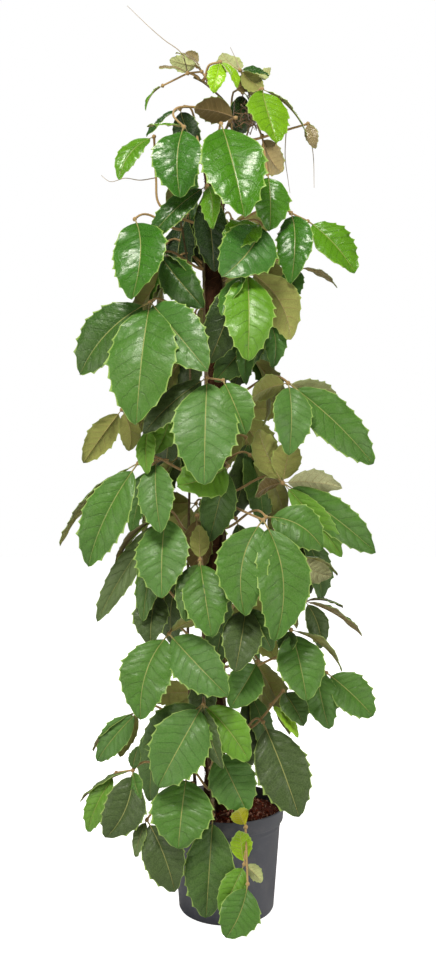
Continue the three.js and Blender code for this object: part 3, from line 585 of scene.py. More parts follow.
# %% Leaf tones
TOP_TONES = dict(
    deep=colour(36, 82, 12), mid=colour(50, 108, 14), leafy=colour(64, 122, 6),
    # bright: a fresh green lifted partly as a painted highlight for a glossy crown leaf.
    fresh=colour(86, 142, 2), bright=colour(116, 168, 12), lime=colour(150, 204, 4),
    # blue: a green with painted sheen in its bluish cast. dark: painted shade, a green darkened for leaves
    # in shade.
    blue=colour(58, 112, 36), grey=colour(84, 106, 60), dark=colour(26, 54, 14),
    tan=colour(150, 132, 96),
)
UNDER_TONES = dict(
    olive=colour(148, 152, 82), pale=colour(182, 190, 132), cream=colour(206, 208, 160),
    tan=colour(166, 150, 104), brown=colour(112, 96, 56), lime=colour(150, 190, 30),
    yellow=colour(190, 190, 30),
)


def tones_of(name):
    """The two tones of a leaflet from a name such as deep/tan."""
    top, _, under = name.partition("/")
    return TOP_TONES[top], UNDER_TONES[under or "olive"]


def leaf(stem, start, stalk, *blades, knots=(), tendrils=()):
    """One row of the leaf list."""
    return dict(stem=stem, start=start, stalk=stalk, blades=blades, knots=knots, tendrils=tendrils)


print("tones:", len(TOP_TONES), "upper,", len(UNDER_TONES), "under")

# %% [markdown]
# The crown is thin and young: small limp leaflets, two shoots with tendrils, and the first
# big leaves hanging below them. Each row gives a leaf its stem, the height where its stalk
# starts, the spots its stalk passes, and for each leaflet its tones, the spot of its tip and
# its width. Where they aren't 0, its turn about its midrib and its sideways bend follow, and
# then the knot it grows from if that isn't the hub. A turn of 0 shows the upper side to the
# front and 180 the underside.

# %% Leaves of the crown
CROWN_LEAVES = [
    leaf("left", 1717, [(-80, 1724, 20)], ("fresh/olive", -167, 1646, 44, 30, 50, 0, 0),
        ("tan/tan", -140, 1735, 44, 36, 40, -0.1), ("tan/tan", -105, 1766, 30, 44, 60, -0.1, 1),
        knots=[(-132, 1698, 32), (-51, 1727, 24)],
        tendrils=[[(-80, 1724, 20), (-94, 1766, 8), (-129, 1793, 6), (-158, 1818, 4), (-206, 1864, 0)]]),
    leaf("left", 1700, [(-36, 1740, 22), (-13, 1747, 28)], ("lime/pale", -28, 1683, 50, 36),
        ("lime/olive", 22, 1693, 45, 34, -40)),
    leaf("right", 1712, [(28, 1730, 4)], ("fresh/pale", -9, 1766, -20, 60, 180),
        ("deep/olive", 76, 1691, 14, 38, -160), ("deep/olive", 88, 1718, 0, 34, -30),
        tendrils=[[(28, 1730, 4), (20, 1752, -12), (8, 1778, -10)]]),
    leaf("right", 1650, [(74, 1691, 30)], ("bright", 105, 1579, 80, 84, -5, -0.06),
        ("deep", 167, 1594, 30, 40, -55)),
    leaf("left", 1606, [(20, 1631, 52)], ("deep/brown", -67, 1650, 68, 52, 120)),
    leaf("left", 1628, [(-45, 1651, 26), (-101, 1652, 50), (-110, 1636, 72), (-88, 1612, 90)],
        ("mid", -96, 1465, 130, 94, 0, -0.04), ("fresh", -165, 1613, 80, 56, 55)),
    leaf("left", 1400, [(-138, 1450, 30), (-146, 1507, 34), (-150, 1592, 50)],
        ("fresh", -223, 1502, 90, 50, 5, -0.08),
        tendrils=[[(-146, 1507, 34), (-179, 1502, 30), (-210, 1506, 28), (-241, 1499, 28),
            (-260, 1512, 26)]]),
    leaf("left", 1560, [(-11, 1619, 100)], ("leafy", 38, 1424, 190, 114)),
    leaf("right", 1630, [(74, 1594, 60)], ("deep/tan", 115, 1519, 105, 52, -120, 0.1),
        ("leafy", 90, 1397, 100, 74, 0, 0, 0), knots=[(86, 1514, 78)]),
    leaf("right", 1580, [(124, 1606, 0), (169, 1619, 5)], ("tan/pale", 184, 1567, 20, 26, 30),
        ("tan/pale", 190, 1600, -5, 24, -50),
        tendrils=[[(124, 1606, 0), (122, 1550, 8), (128, 1502, 10), (132, 1475, 10)],
        [(169, 1619, 5), (180, 1555, -8), (182, 1486, -6)]]),
]
print("crown:", len(CROWN_LEAVES), "leaves")

# %% [markdown]
# Below the crown the leaves are as broad as a hand and hang like roof tiles. They were
# measured one by one, because their outlines make the silhouette of the plant.

# %% Leaves of the shoulder
SHOULDER_LEAVES = [
    leaf("outer", 1390, [(-190, 1421, 60)], ("mid", -196, 1254, 130, 104, 0, 0.12)),
    leaf("left", 1450, [(-40, 1490, 80)], ("deep", -165, 1372, 100, 56, 15),
        ("fresh/pale", -28, 1401, 130, 44, 30, 0.12), ("dark", -24, 1312, 56, 64)),
    leaf("right", 1380, [(74, 1411, 100)], ("blue", -9, 1301, 165, 104, 0, 0.08),
        ("fresh", -5, 1361, 140, 68, 20)),
    leaf("right", 1400, [(134, 1434, 50)], ("mid/tan", 134, 1287, 110, 70, 35, 0.08),
        ("fresh", 267, 1310, 70, 82, -5, 0, 0), knots=[(169, 1417, 56)]),
    leaf("right", 1300, [(149, 1320, 20)], ("deep/tan", 230, 1279, 20, 40, -70),
        ("blue", 138, 1253, 50, 46, 20, -0.1)),
    leaf("outer", 1215, [(-158, 1249, 85)], ("deep", -304, 1098, 60, 100, 0, -0.05),
        ("mid", -187, 994, 170, 130, 0, 0.03), ("blue", -38, 1106, 190, 96)),
    leaf("left", 1310, [(-138, 1347, 55)], ("deep", -48, 1237, 100, 70, 15),
        ("deep/tan", -66, 1296, 88, 44, -70)),
    leaf("right", 1290, [(43, 1314, 115)], ("mid", -9, 1220, 160, 50, 50), ("fresh", 45, 1127, 190, 90),
        ("deep/olive", 134, 1171, 110, 76, -150, -0.12), ("dark", -36, 1122, 74, 76)),
    leaf("right", 1180, [(86, 1212, 52)], ("blue/tan", 97, 1112, 82, 42, 20, 0.1),
        ("blue", 41, 1077, 96, 40, 20, -0.12), ("deep", -24, 1084, 58, 74)),
]
print("shoulder:", len(SHOULDER_LEAVES), "leaves")

# %% [markdown]
# In the middle the leaves crowd. Some are turned over and show their felted undersides,
# which are the palest surfaces of the plant.

# %% Leaves of the middle
MIDDLE_LEAVES = [
    leaf("left", 1060, [(-40, 1092, 135)], ("blue", -46, 870, 220, 116),
        ("mid", 41, 975, 180, 68, 0, 0, 0), ("dark", -173, 975, 135, 60, 20), knots=[(-7, 1087, 146)]),
    leaf("outer", 1010, [(-120, 1040, 70)], ("fresh", -148, 934, 100, 58, -10, 0.1),
        ("fresh", -163, 892, 132, 40, 10, 0, 0), knots=[(-160, 990, 88)]),
    leaf("outer", 990, [(-217, 1026, 30)], ("deep/olive", -297, 915, 25, 54, 140),
        ("deep/olive", -202, 940, 60, 42, 150, -0.12)),
    leaf("right", 1040, [(128, 1081, 110)], ("blue", 130, 932, 160, 74), ("mid", 304, 913, 90, 88),
        ("deep/olive", 53, 1050, 150, 54, 130), ("deep/pale", 236, 1040, 60, 50, -125)),
    leaf("right", 850, [(117, 874, 90)], ("deep/olive", 66, 985, 115, 58, 180),
        ("deep/olive", 136, 963, 100, 58, 180), ("deep/cream", 240, 864, 80, 52, -130),
        ("deep/brown", 59, 845, 115, 44, 120), ("mid", 310, 729, 50, 72), ("fresh", 240, 720, 78, 52, 10)),
    leaf("right", 780, [(82, 803, 116)], ("mid", 200, 737, 146, 80, 0, 0.12),
        ("deep", 163, 731, 122, 44, -75)),
    leaf("right", 700, [(153, 722, 40)], ("deep/cream", 219, 681, 50, 56, 180, 0.12),
        ("deep/olive", 231, 683, 30, 40, -80)),
    leaf("right", 830, [(16, 824, 90), (76, 797, 150)], ("mid", 38, 598, 215, 94, 0, -0.13),
        ("mid", 101, 546, 200, 98, 0, 0.1)),
    leaf("left", 880, [(3, 909, 110)], ("fresh", -102, 868, 165, 88, 5, 0.1), ("deep", -36, 752, 100, 66)),
    leaf("outer", 890, [(-183, 915, 110)], ("blue", -136, 770, 165, 68, 0, 0, 0),
        ("mid", -287, 700, 100, 90), ("deep/olive", -345, 743, 60, 60, 80), knots=[(-146, 921, 98)]),
    leaf("outer", 770, [(-125, 808, 90)], ("blue", -134, 635, 180, 98),
        ("deep/tan", -233, 700, 75, 40, 85), ("deep", -173, 586, 130, 58, 15), ("grey", -268, 586, 50, 50),
        ("lime/olive", -219, 700, 60, 24, 60)),
]
print("middle:", len(MIDDLE_LEAVES), "leaves")

# %% [markdown]
# The lower leaves hang in front of the pole in shade. The dark tone is painted shade: it
# darkens the old leaves that the light hardly reaches.

# %% Leaves of the lower plant
LOWER_LEAVES = [
    leaf("left", 690, [(-55, 714, 130)], ("deep", -84, 586, 190, 62), ("mid", -30, 554, 205, 82),
        ("deep/olive", -57, 787, 120, 36, 180), ("deep", -2, 560, 96, 64)),
    leaf("left", 540, [(-119, 561, 120)], ("mid", -178, 382, 185, 94, 0, -0.08), ("blue", 3, 432, 215, 86),
        ("deep/olive", -34, 590, 160, 40, -110)),
    leaf("outer", 620, [(-144, 648, 78)], ("dark", -158, 538, 130, 68)),
    leaf("right", 590, [(41, 619, 140)], ("dark", 18, 482, 205, 72), ("deep", 95, 525, 165, 48)),
    leaf("right", 490, [(66, 505, 130)], ("mid", 8, 407, 175, 66)),
    leaf("right", 540, [(134, 569, 110)], ("mid", 167, 422, 175, 90), ("deep", 122, 519, 135, 40, 40),
        ("deep/olive", 240, 484, 126, 56, -85)),
    leaf("right", 610, [(163, 629, 52)], ("dark", 196, 530, 64, 46, 0, 0.05),
        ("deep/tan", 281, 556, 50, 55, -80), ("dark/brown", 242, 615, 50, 45, -80)),
    leaf("right", 350, [(59, 372, 60), (117, 442, 80)], ("deep", 161, 370, 130, 52),
        ("lime/olive", 149, 345, 120, 26, -20, 0, 0), knots=[(92, 414, 84)]),
    leaf("right", 470, [(185, 500, 40)], ("mid", 304, 390, 60, 78, 0, 0, 0),
        ("mid", 213, 363, 80, 70, 0, -0.08), knots=[(208, 480, 44)]),
    leaf("right", 330, [(76, 378, 90)], ("dark", 151, 181, 150, 102)),
]
print("lower:", len(LOWER_LEAVES), "leaves")

# %% [markdown]
# The foot leaves hang over the rim of the pot, and one long young shoot droops in front of
# it down to the floor.

# %% Leaves of the foot
FOOT_LEAVES = [
    leaf("left", 390, [(-48, 415, 140)], ("blue", -142, 243, 190, 104), ("deep", -173, 326, 150, 74),
        ("fresh", 47, 297, 190, 70, 0, 0.05), ("dark", -7, 281, 205, 46, 40)),
    leaf("left", 290, [(-19, 320, 110)], ("blue", 43, 191, 150, 86)),
    leaf("left", 250, [(-82, 268, 130)], ("mid", -100, 115, 195, 112)),
    leaf("outer", 380, [(-183, 399, 85)], ("deep/tan", -277, 318, 60, 50, 80),
        ("blue", -268, 297, 80, 56, 5), ("deep/olive", -221, 305, 95, 34, 150)),
    leaf("outer", 262, [(-194, 278, 105)], ("mid", -177, 216, 140, 40, 30),
        ("dark", -250, 138, 130, 80, 0, 0.14), ("fresh", -287, 150, 90, 48, 10, 0, 0),
        ("grey/brown", -304, 212, 80, 48, 80), ("deep/tan", -183, 328, 110, 24), knots=[(-229, 273, 96)]),
    leaf("outer", 232, [(-165, 175, 122)], ("dark", -107, 25, 165, 78, 0, 0.08),
        ("grey/tan", -188, 98, 140, 36, 35)),
    leaf("left", 228, [(-28, 185, 128)], ("deep", -42, -28, 152, 90)),
    leaf("right", 228, [(36, 215, 115), (40, 160, 152)], ("fresh", -13, -18, 205, 48, 0, 0, 0),
        ("mid", -1, -70, 222, 72, 0, 0.05, 1), ("mid/pale", 74, 46, 188, 28, -150, 0, 0),
        ("lime/lime", 28, 152, 184, 40, 180, 0, 0), ("lime/yellow", 24, 196, 178, 34, 180),
        knots=[(37, 83, 165), (44, 42, 190)]),
]
print("foot:", len(FOOT_LEAVES), "leaves")

# %% [markdown]
# Finishes are wired from nodes. Two small helpers keep that short: one adds a node with its
# settings, the other joins two sockets. An effect that several finishes share is a group of
# nodes, built once and placed in each with its own numbers.

# %% Node helpers
def node(tree, kind, **settings):
    """A node of a kind; settings that name an input set its value."""
    made = tree.nodes.new(kind)
    for key, value in settings.items():
        if hasattr(made, key):
            setattr(made, key, value)
        else:
            made.inputs[key.replace("_", " ")].default_value = value
    return made


def maths(tree, operation, a, b=None, clamp=False):
    """The result of a sum on sockets or numbers."""
    made = node(tree, "ShaderNodeMath", operation=operation, use_clamp=clamp)
    for k, value in enumerate((a, b)):
        if value is None:
            continue
        if isinstance(value, (int, float)):
            made.inputs[k].default_value = value
        else:
            tree.links.new(value, made.inputs[k])
    return made.outputs[0]


def plus(tree, a, b):
    """The sum of two sockets or numbers."""
    return maths(tree, "ADD", a, b)


def minus(tree, a, b):
    """The first less the second."""
    return maths(tree, "SUBTRACT", a, b)


def times(tree, a, b):
    """The product of two sockets or numbers."""
    return maths(tree, "MULTIPLY", a, b)


def mesh_tone(tree):
    """The tone kept in the mesh."""
    return node(tree, "ShaderNodeAttribute", attribute_name="tone").outputs["Color"]


def object_place(tree):
    """The place on the object, in metres."""
    return node(tree, "ShaderNodeTexCoord").outputs["Object"]


def stretched_place(tree, scale):
    """The place on the object, scaled on each axis."""
    made = node(tree, "ShaderNodeMapping")
    tree.links.new(object_place(tree), made.inputs["Vector"])
    made.inputs["Scale"].default_value = scale
    return made.outputs[0]


def ramp_between(tree, value, low, high, start=0.0, end=1.0):
    """A smooth step: start below low, end above high."""
    made = node(tree, "ShaderNodeMapRange", interpolation_type="SMOOTHSTEP")
    tree.links.new(value, made.inputs["Value"])
    for key, number in (("From Min", low), ("From Max", high), ("To Min", start), ("To Max", end)):
        made.inputs[key].default_value = number
    return made.outputs[0]


def blend_colours(tree, mask, a, b):
    """Colour a where the mask is 0 and colour b where it is 1."""
    made = node(tree, "ShaderNodeMix", data_type="RGBA", blend_type="MIX")
    for value, k in ((mask, 0), (a, 6), (b, 7)):
        if isinstance(value, (int, float)):
            made.inputs[k].default_value = value
        elif isinstance(value, tuple):
            made.inputs[k].default_value = (*value, 1)
        else:
            tree.links.new(value, made.inputs[k])
    return made.outputs[2]


def new_group(name, inputs, outputs):
    """An empty node group with named inputs and outputs."""
    group = bpy.data.node_groups.new(name, "ShaderNodeTree")
    for key, kind, value in inputs:
        made = group.interface.new_socket(name=key, in_out="INPUT", socket_type=kind)
        if value is not None:
            made.default_value = value
    for key, kind in outputs:
        group.interface.new_socket(name=key, in_out="OUTPUT", socket_type=kind)
    return group, node(group, "NodeGroupInput").outputs, node(group, "NodeGroupOutput").inputs


def placed(tree, group, **values):
    """A group placed in a finish, with its own values or links."""
    made = node(tree, "ShaderNodeGroup", node_tree=group)
    for key, value in values.items():
        key = key.replace("_", " ")
        if isinstance(value, (int, float)):
            made.inputs[key].default_value = value
        elif isinstance(value, tuple):
            made.inputs[key].default_value = (*value, 1)[:4]
        else:
            tree.links.new(value, made.inputs[key])
    return made.outputs


print("node helpers ready")

# %% [markdown]
# The skeleton of a leaflet is drawn from its own map: u runs along the midrib and v across.
# A midrib runs along the middle, eight side veins a side sweep forward to the edge, a fine
# net fills the fields between them, and a pale line follows the very edge. An image could
# hold this, but lines that are computed stay sharp close up.

# %% Vein pattern
FLOAT, COLOUR, VECTOR = "NodeSocketFloat", "NodeSocketColor", "NodeSocketVector"


def vein_group():
    """Masks of a leaflet's midrib, side veins, fine net and margin."""
    tree, have, give = new_group("vein_pattern", [("Place", VECTOR, None), ("Vein Width", FLOAT, 0.05)],
        [("Midrib", FLOAT), ("Side Veins", FLOAT), ("Net", FLOAT), ("Margin", FLOAT)])
    split = node(tree, "ShaderNodeSeparateXYZ")
    tree.links.new(have["Place"], split.inputs[0])
    along, across = split.outputs[0], split.outputs[1]
    drift = node(tree, "ShaderNodeTexNoise", Scale=5.0, Detail=1.0)
    tree.links.new(have["Place"], drift.inputs["Vector"])
    wander = times(tree, minus(tree, drift.outputs["Fac"], 0.5), 0.06)
    signed = minus(tree, times(tree, across, 2.0), 1.0)
    s = maths(tree, "ABSOLUTE", signed)
    midrib = ramp_between(tree, plus(tree, s, times(tree, along, 0.012)), 0.014, 0.034, 1.0, 0.0)
    swept = minus(tree, along, times(tree, maths(tree, "POWER", s, 1.2), VEIN_SWEEP))
    swept = plus(tree, swept, wander)
    shift = times(tree, maths(tree, "LESS_THAN", signed, 0.0), SIDE_SHIFT)
    saw = maths(tree, "PINGPONG", plus(tree, times(tree, swept, float(SIDE_VEINS)), shift), 0.5)
    width = times(tree, have["Vein Width"], minus(tree, 1.25, s))
    veins = ramp_between(tree, maths(tree, "DIVIDE", saw, width), 0.4, 1.3, 1.0, 0.0)
    inner = times(tree, veins, ramp_between(tree, s, 0.86, 0.97, 1.0, 0.0))
    stretch = node(tree, "ShaderNodeVectorMath", operation="MULTIPLY")
    tree.links.new(have["Place"], stretch.inputs[0])
    stretch.inputs[1].default_value = (34, 17, 1)
    net = node(tree, "ShaderNodeTexVoronoi", feature="DISTANCE_TO_EDGE", Scale=1.0)
    tree.links.new(stretch.outputs[0], net.inputs["Vector"])
    tree.links.new(midrib, give["Midrib"])
    tree.links.new(times(tree, inner, ramp_between(tree, swept, 0.03, 0.08)), give["Side Veins"])
    tree.links.new(ramp_between(tree, net.outputs["Distance"], 0.02, 0.12, 1.0, 0.0), give["Net"])
    tree.links.new(ramp_between(tree, s, 0.955, 0.985), give["Margin"])
    return tree


VEIN_PATTERN = vein_group()
print("vein outputs:", [s.name for s in VEIN_PATTERN.interface.items_tree if s.in_out == "OUTPUT"])

# %% [markdown]
# No living surface has one flat colour. The mottle group lightens and darkens a colour in
# soft patches and fine specks, and gives the specks as a height too. Object coordinates are
# used, so the pattern stays put on the plant and has a real size.

# %% Mottle
def mottle_group():
    """A colour broken up by soft patches and fine specks."""
    inputs = [("Colour", COLOUR, (0.5, 0.5, 0.5, 1)), ("Patch Size", FLOAT, 30.0),
        ("Speck Size", FLOAT, 400.0), ("Strength", FLOAT, 0.3)]
    tree, have, give = new_group("mottle", inputs, [("Colour", COLOUR), ("Height", FLOAT)])
    soft = node(tree, "ShaderNodeTexNoise", Detail=3.0, Roughness=0.6)
    fine = node(tree, "ShaderNodeTexNoise", Detail=2.0, Roughness=0.7)
    for noise, size in ((soft, "Patch Size"), (fine, "Speck Size")):
        tree.links.new(object_place(tree), noise.inputs["Vector"])
        tree.links.new(have[size], noise.inputs["Scale"])
    both = plus(tree, times(tree, soft.outputs["Fac"], 0.65), times(tree, fine.outputs["Fac"], 0.35))
    swing = times(tree, minus(tree, both, 0.5), times(tree, have["Strength"], 4.0))
    tint = node(tree, "ShaderNodeVectorMath", operation="SCALE")
    tree.links.new(have["Colour"], tint.inputs[0])
    tree.links.new(plus(tree, swing, 1.0), tint.inputs["Scale"])
    tree.links.new(tint.outputs[0], give["Colour"])
    tree.links.new(fine.outputs["Fac"], give["Height"])
    return tree


def mottled(tree, tone, patch_size, speck_size, strength):
    """The mottle group placed in a finish."""
    return placed(tree, MOTTLE, Colour=tone, Patch_Size=patch_size, Speck_Size=speck_size, Strength=strength)


MOTTLE = mottle_group()
print("mottle inputs:", [s.name for s in MOTTLE.interface.items_tree if s.in_out == "INPUT"])

# %% [markdown]
# The upper side of a leaflet is a smooth wax: the tone of the leaf, a paler midrib, side
# veins painted darker as the shade in their sunk grooves, a net hardly paler than the
# fields, and a yellow-green edge line. Young leaves stand high on the plant and are glossy.
# The old ones below are duller, and a paler grey-green blended over them is painted sheen.
# A thin coat gives the second, sharper shine of wax.

# %% Leaf, upper side
YOUNG = dict(none_below=1.02, all_above=1.38)


def blank_finish(name, **sockets):
    """A finish with its shader, and values that are the same all over it."""
    finish = bpy.data.materials.new(name)
    finish.use_nodes = True
    shader = finish.node_tree.nodes["Principled BSDF"]
    for key, value in sockets.items():
        shader.inputs[key.replace("_", " ")].default_value = value
    return finish, finish.node_tree, shader.inputs


def vein_masks(tree, vein_width):
    """The vein pattern on the map of the leaflets."""
    place = node(tree, "ShaderNodeUVMap", uv_map="leaflet").outputs["UV"]
    return placed(tree, VEIN_PATTERN, Place=place, Vein_Width=vein_width)


def drawn_over(tree, shown, veins, **lines):
    """A colour with lines of the vein pattern drawn over it, each with its share and colour."""
    for key, (share, tone) in lines.items():
        shown = blend_colours(tree, times(tree, veins[key.replace("_", " ")], share), shown, tone)
    return shown


def bump(tree, height, strength, distance, shader):
    """A height turned into relief on a shader."""
    made = node(tree, "ShaderNodeBump", Strength=strength, Distance=distance)
    tree.links.new(height, made.inputs["Height"])
    tree.links.new(made.outputs[0], shader["Normal"])


def leaf_top_finish():
    """Waxy green with sunk veins painted darker as shade, a pale margin and painted sheen on low leaves."""
    finish, tree, shader = blank_finish("leaf_upper_wax", Coat_Roughness=0.12, Specular_IOR_Level=0.42)
    veins = vein_masks(tree, 0.045)
    body = mottled(tree, mesh_tone(tree), 26.0, 420.0, 0.24)
    # The side veins are drawn in dark green: painted shade in their sunk grooves.
    shown = drawn_over(tree, body["Colour"], veins, Net=(0.16, colour(120, 150, 84)),
        Side_Veins=(0.3, colour(30, 66, 20)), Midrib=(0.6, colour(160, 184, 110)),
        Margin=(0.65, MARGIN_TONE))
    where = object_place(tree)
    split = node(tree, "ShaderNodeSeparateXYZ")
    tree.links.new(where, split.inputs[0])
    young = ramp_between(tree, split.outputs[2], YOUNG["none_below"], YOUNG["all_above"])
    # Leaves low on the plant are blended towards a pale grey-green: painted sheen.
    painted_low_sheen = times(tree, minus(tree, 1.0, young), 0.13)
    tree.links.new(blend_colours(tree, painted_low_sheen, shown, colour(150, 172, 96)), shader["Base Color"])
    rough = plus(tree, times(tree, body["Height"], 0.14), plus(tree, times(tree, young, -0.2), 0.4))
    tree.links.new(plus(tree, rough, times(tree, veins["Midrib"], 0.2)), shader["Roughness"])
    waxed = plus(tree, times(tree, young, 0.14), 0.05)
    waxed = maths(tree, "SUBTRACT", waxed, times(tree, veins["Margin"], 0.2), clamp=True)
    tree.links.new(waxed, shader["Coat Weight"])
    sunk = plus(tree, times(tree, veins["Side Veins"], -1.0), times(tree, veins["Net"], -0.22))
    pucker = node(tree, "ShaderNodeTexNoise", Scale=60.0, Detail=1.0, Roughness=0.4)
    tree.links.new(where, pucker.inputs["Vector"])
    uneven = plus(tree, times(tree, body["Height"], 0.15), times(tree, pucker.outputs["Fac"], 2.2))
    bump(tree, plus(tree, sunk, uneven), 0.7, 0.0011, shader)
    return finish


LEAF_TOP = leaf_top_finish()
print("upper side nodes:", len(LEAF_TOP.node_tree.nodes))

# %% [markdown]
# The underside is felt: dull, soft to the light at its edges, with raised veins a little
# browner than the felt between them. Sheen in the shader does for the hairs, which are far
# too fine to be modelled one by one.

# %% Leaf, underside
def leaf_under_finish():
    """Felted underside with raised veins."""
    finish, tree, shader = blank_finish("leaf_under_felt", Roughness=0.86, Sheen_Weight=0.35,
        Sheen_Roughness=0.45, Specular_IOR_Level=0.25)
    veins = vein_masks(tree, 0.06)
    body = mottled(tree, mesh_tone(tree), 34.0, 900.0, 0.26)
    shown = drawn_over(tree, body["Colour"], veins, Net=(0.24, colour(104, 92, 50)),
        Side_Veins=(0.5, colour(146, 122, 78)), Margin=(0.5, MARGIN_TONE))
    tree.links.new(shown, shader["Base Color"])
    raised = plus(tree, veins["Side Veins"], times(tree, veins["Net"], 0.3))
    bump(tree, plus(tree, raised, times(tree, body["Height"], 0.5)), 0.6, 0.0006, shader)
    return finish


LEAF_UNDER = leaf_under_finish()
print("underside nodes:", len(LEAF_UNDER.node_tree.nodes))

# %% [markdown]
# Stalks, ribs and tendrils wear short velvet, and stems a thin fissured bark. Both take
# their tone from the mesh, where it changes along the plant, and roughen it with mottle.

# %% Stalk velvet and stem bark
def stalk_finish():
    """Velvety tan-brown of stalks, ribs and tendrils."""
    finish, tree, shader = blank_finish("stalk_velvet", Roughness=0.8, Sheen_Weight=0.5,
        Sheen_Roughness=0.4, Specular_IOR_Level=0.25)
    body = mottled(tree, mesh_tone(tree), 60.0, 1300.0, 0.3)
    tree.links.new(body["Colour"], shader["Base Color"])
    bump(tree, body["Height"], 0.5, 0.0005, shader)
    return finish


def bark_finish():
    """Dark bark with short pale cracks along the stem."""
    finish, tree, shader = blank_finish("stem_bark", Roughness=0.78, Specular_IOR_Level=0.3)
    body = mottled(tree, mesh_tone(tree), 50.0, 700.0, 0.4)
    cracks = node(tree, "ShaderNodeTexVoronoi", feature="DISTANCE_TO_EDGE", Scale=1.0)
    tree.links.new(stretched_place(tree, (700, 700, 120)), cracks.inputs["Vector"])
    open_cracks = ramp_between(tree, cracks.outputs["Distance"], 0.02, 0.16, 1.0, 0.0)
    shown = blend_colours(tree, times(tree, open_cracks, 0.45), body["Colour"], colour(150, 128, 100))
    tree.links.new(shown, shader["Base Color"])
    bump(tree, minus(tree, body["Height"], open_cracks), 0.6, 0.0008, shader)
    return finish


STALK_VELVET, STEM_BARK = stalk_finish(), bark_finish()
LEAF_FINISHES = [LEAF_TOP, LEAF_UNDER, STALK_VELVET, STEM_BARK]
print("leaf finishes:", [f.name for f in LEAF_FINISHES])

# %% [markdown]
# Now a leaf is put together: its stalk springs from its stem, ends in a knob, and the
# leaflets spread from there. The leaflets face mostly to the front, turned a little outward
# by the side of the pole on which the leaf stands, as leaves turn to a window.

# %% Put the leaves together
KNOB = dict(hub=4.4, knot=3.9)
SHOOT = 9


def leaf_patches(row, seed, stations=ACROSS):
    """All patches of one row of the leaf list."""
    stem = STEMS[row["stem"]]
    spots = [spot(p) for p in row["stalk"]]
    centre, tangent, radius = stem_at(stem, row["start"])
    away = spots[0] - centre
    outward = unit(away - tangent * away.dot(tangent))
    knob = spots[-1]
    patches = stalk_patches(stalk_line(centre + outward * (radius - 0.8), outward, spots), STALK_TONE)
    patches += knob_patches(knob, KNOB["hub"], STALK_TONE)
    knots = [spot(p) for p in row["knots"]]
    for knot in knots:
        twig = np.linspace(knob, knot, 6)
        patches += tube(twig, 2.0, 8, LEAF_SIDES["stalk"], STALK_TONE, 0.05, np.random.default_rng(seed))
        patches += knob_patches(knot, KNOB["knot"], STALK_TONE)
    bearing = math.degrees(math.atan2(knob[0] - POLE["x"], POLE["y"] - knob[1]))
    facing = level_direction(0.25 * bearing) + np.array([0, 0, 0.25])
    for i, (tones, across, up, front, width, *rest) in enumerate(row["blades"]):
        turn, bend, knot = rest + [0, 0, None][len(rest):]
        base = knob if knot is None else knots[knot]
        tip = spot((across, up, front))
        numbers = (width, turn, bend, seed + i)
        patches += leaflet(base, tip, facing, *numbers, *tones_of(tones), stations)
    for tendril in row["tendrils"]:
        patches += tendril_patches(tendril)
    return patches


def packed_name(index):
    """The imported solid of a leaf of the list: the tenth is a shoot."""
    return "shoot_right" if index == SHOOT else f"leaf_{index + 1:02d}"


LEAVES = CROWN_LEAVES + SHOULDER_LEAVES + MIDDLE_LEAVES + LOWER_LEAVES + FOOT_LEAVES
faces_made = 0
for index, row in enumerate(LEAVES):
    name = packed_name(index)
    made = piece(name + "_foliage", leaf_patches(row, 1000 + 10 * index), LEAF_FINISHES, name)
    faces_made += len(made.data.polygons)
print("leaves:", len(LEAVES), "faces:", faces_made)

# %% [markdown]
# The stem behind the pole bears twelve leaves by a rule, because the picture doesn't show
# them: their hubs wind round the back and the sides as the stem climbs, and their leaflets
# fan out and hang. Four more stand at the sides, between those. The draws are those of the
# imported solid, so the two agree.

# %% Back stem and its leaves
BACK = dict(leaves=12, lowest=410, highest=1560, bearings=(197, 110, 165, 242), reach=128, near_reach=78,
    fan=(-88, -32, 26, 84), lengths=(0.62, 0.96, 1, 0.64), length=176, slim=0.44, lean=0.34,
    sides=((720, 98), (1140, 98), (930, 256), (1350, 256)))
BACK_TONES = ("mid", "deep", "fresh", "blue")


def back_leaf(index):
    """All patches of one leaf of the back stem."""
    seed = 2000 + 10 * index
    draw = seeded_draw(seed)
    beside, highest = index >= BACK["leaves"], index == BACK["leaves"] - 1
    z = BACK["lowest"] + (BACK["highest"] - BACK["lowest"]) * index / (BACK["leaves"] - 1)
    mean = BACK["bearings"][index % 4]
    if beside:
        z, mean = BACK["sides"][index - BACK["leaves"]]
    bearing = mean + 12 * (draw() - 0.5)
    outward = level_direction(bearing)
    aside = math.cos(math.radians(bearing)) > -0.8
    backward = 1 if bearing < 180 else -1
    knob = beside_pole(outward, BACK["near_reach"] if aside else BACK["reach"], z)
    start = stem_at(STEMS["back"], min(z - 30, 1540))[0]
    patches = stalk_patches(stalk_line(start, outward, [knob]), STALK_TONE)
    patches += knob_patches(knob, KNOB["hub"], STALK_TONE)
    tangent = level_direction(bearing + 90)
    for i, fan in enumerate(BACK["fan"]):
        if aside and fan * backward < -60 or beside and abs(fan) > 60 or highest and fan > 0:
            continue
        length = BACK["length"] * BACK["lengths"][i] * (0.9 + 0.2 * draw())
        lean = BACK["lean"] * (0.7 + 0.6 * draw())
        way = tangent * math.sin(math.radians(fan)) + np.array([0, 0, -math.cos(math.radians(fan))])
        tip = knob + way * length + outward * lean * length
        turn, bend = 14 * (draw() - 0.5), 0.1 * (draw() - 0.5)
        tones = tones_of(BACK_TONES[(index + i) % 4])
        width = length * BACK["slim"]
        number = seed + 1 + i
        patches += leaflet(knob, tip, outward, width, turn, bend, number, *tones, FEWER_ACROSS)
    return patches


print("leaves by the rule:", BACK["leaves"] + len(BACK["sides"]))

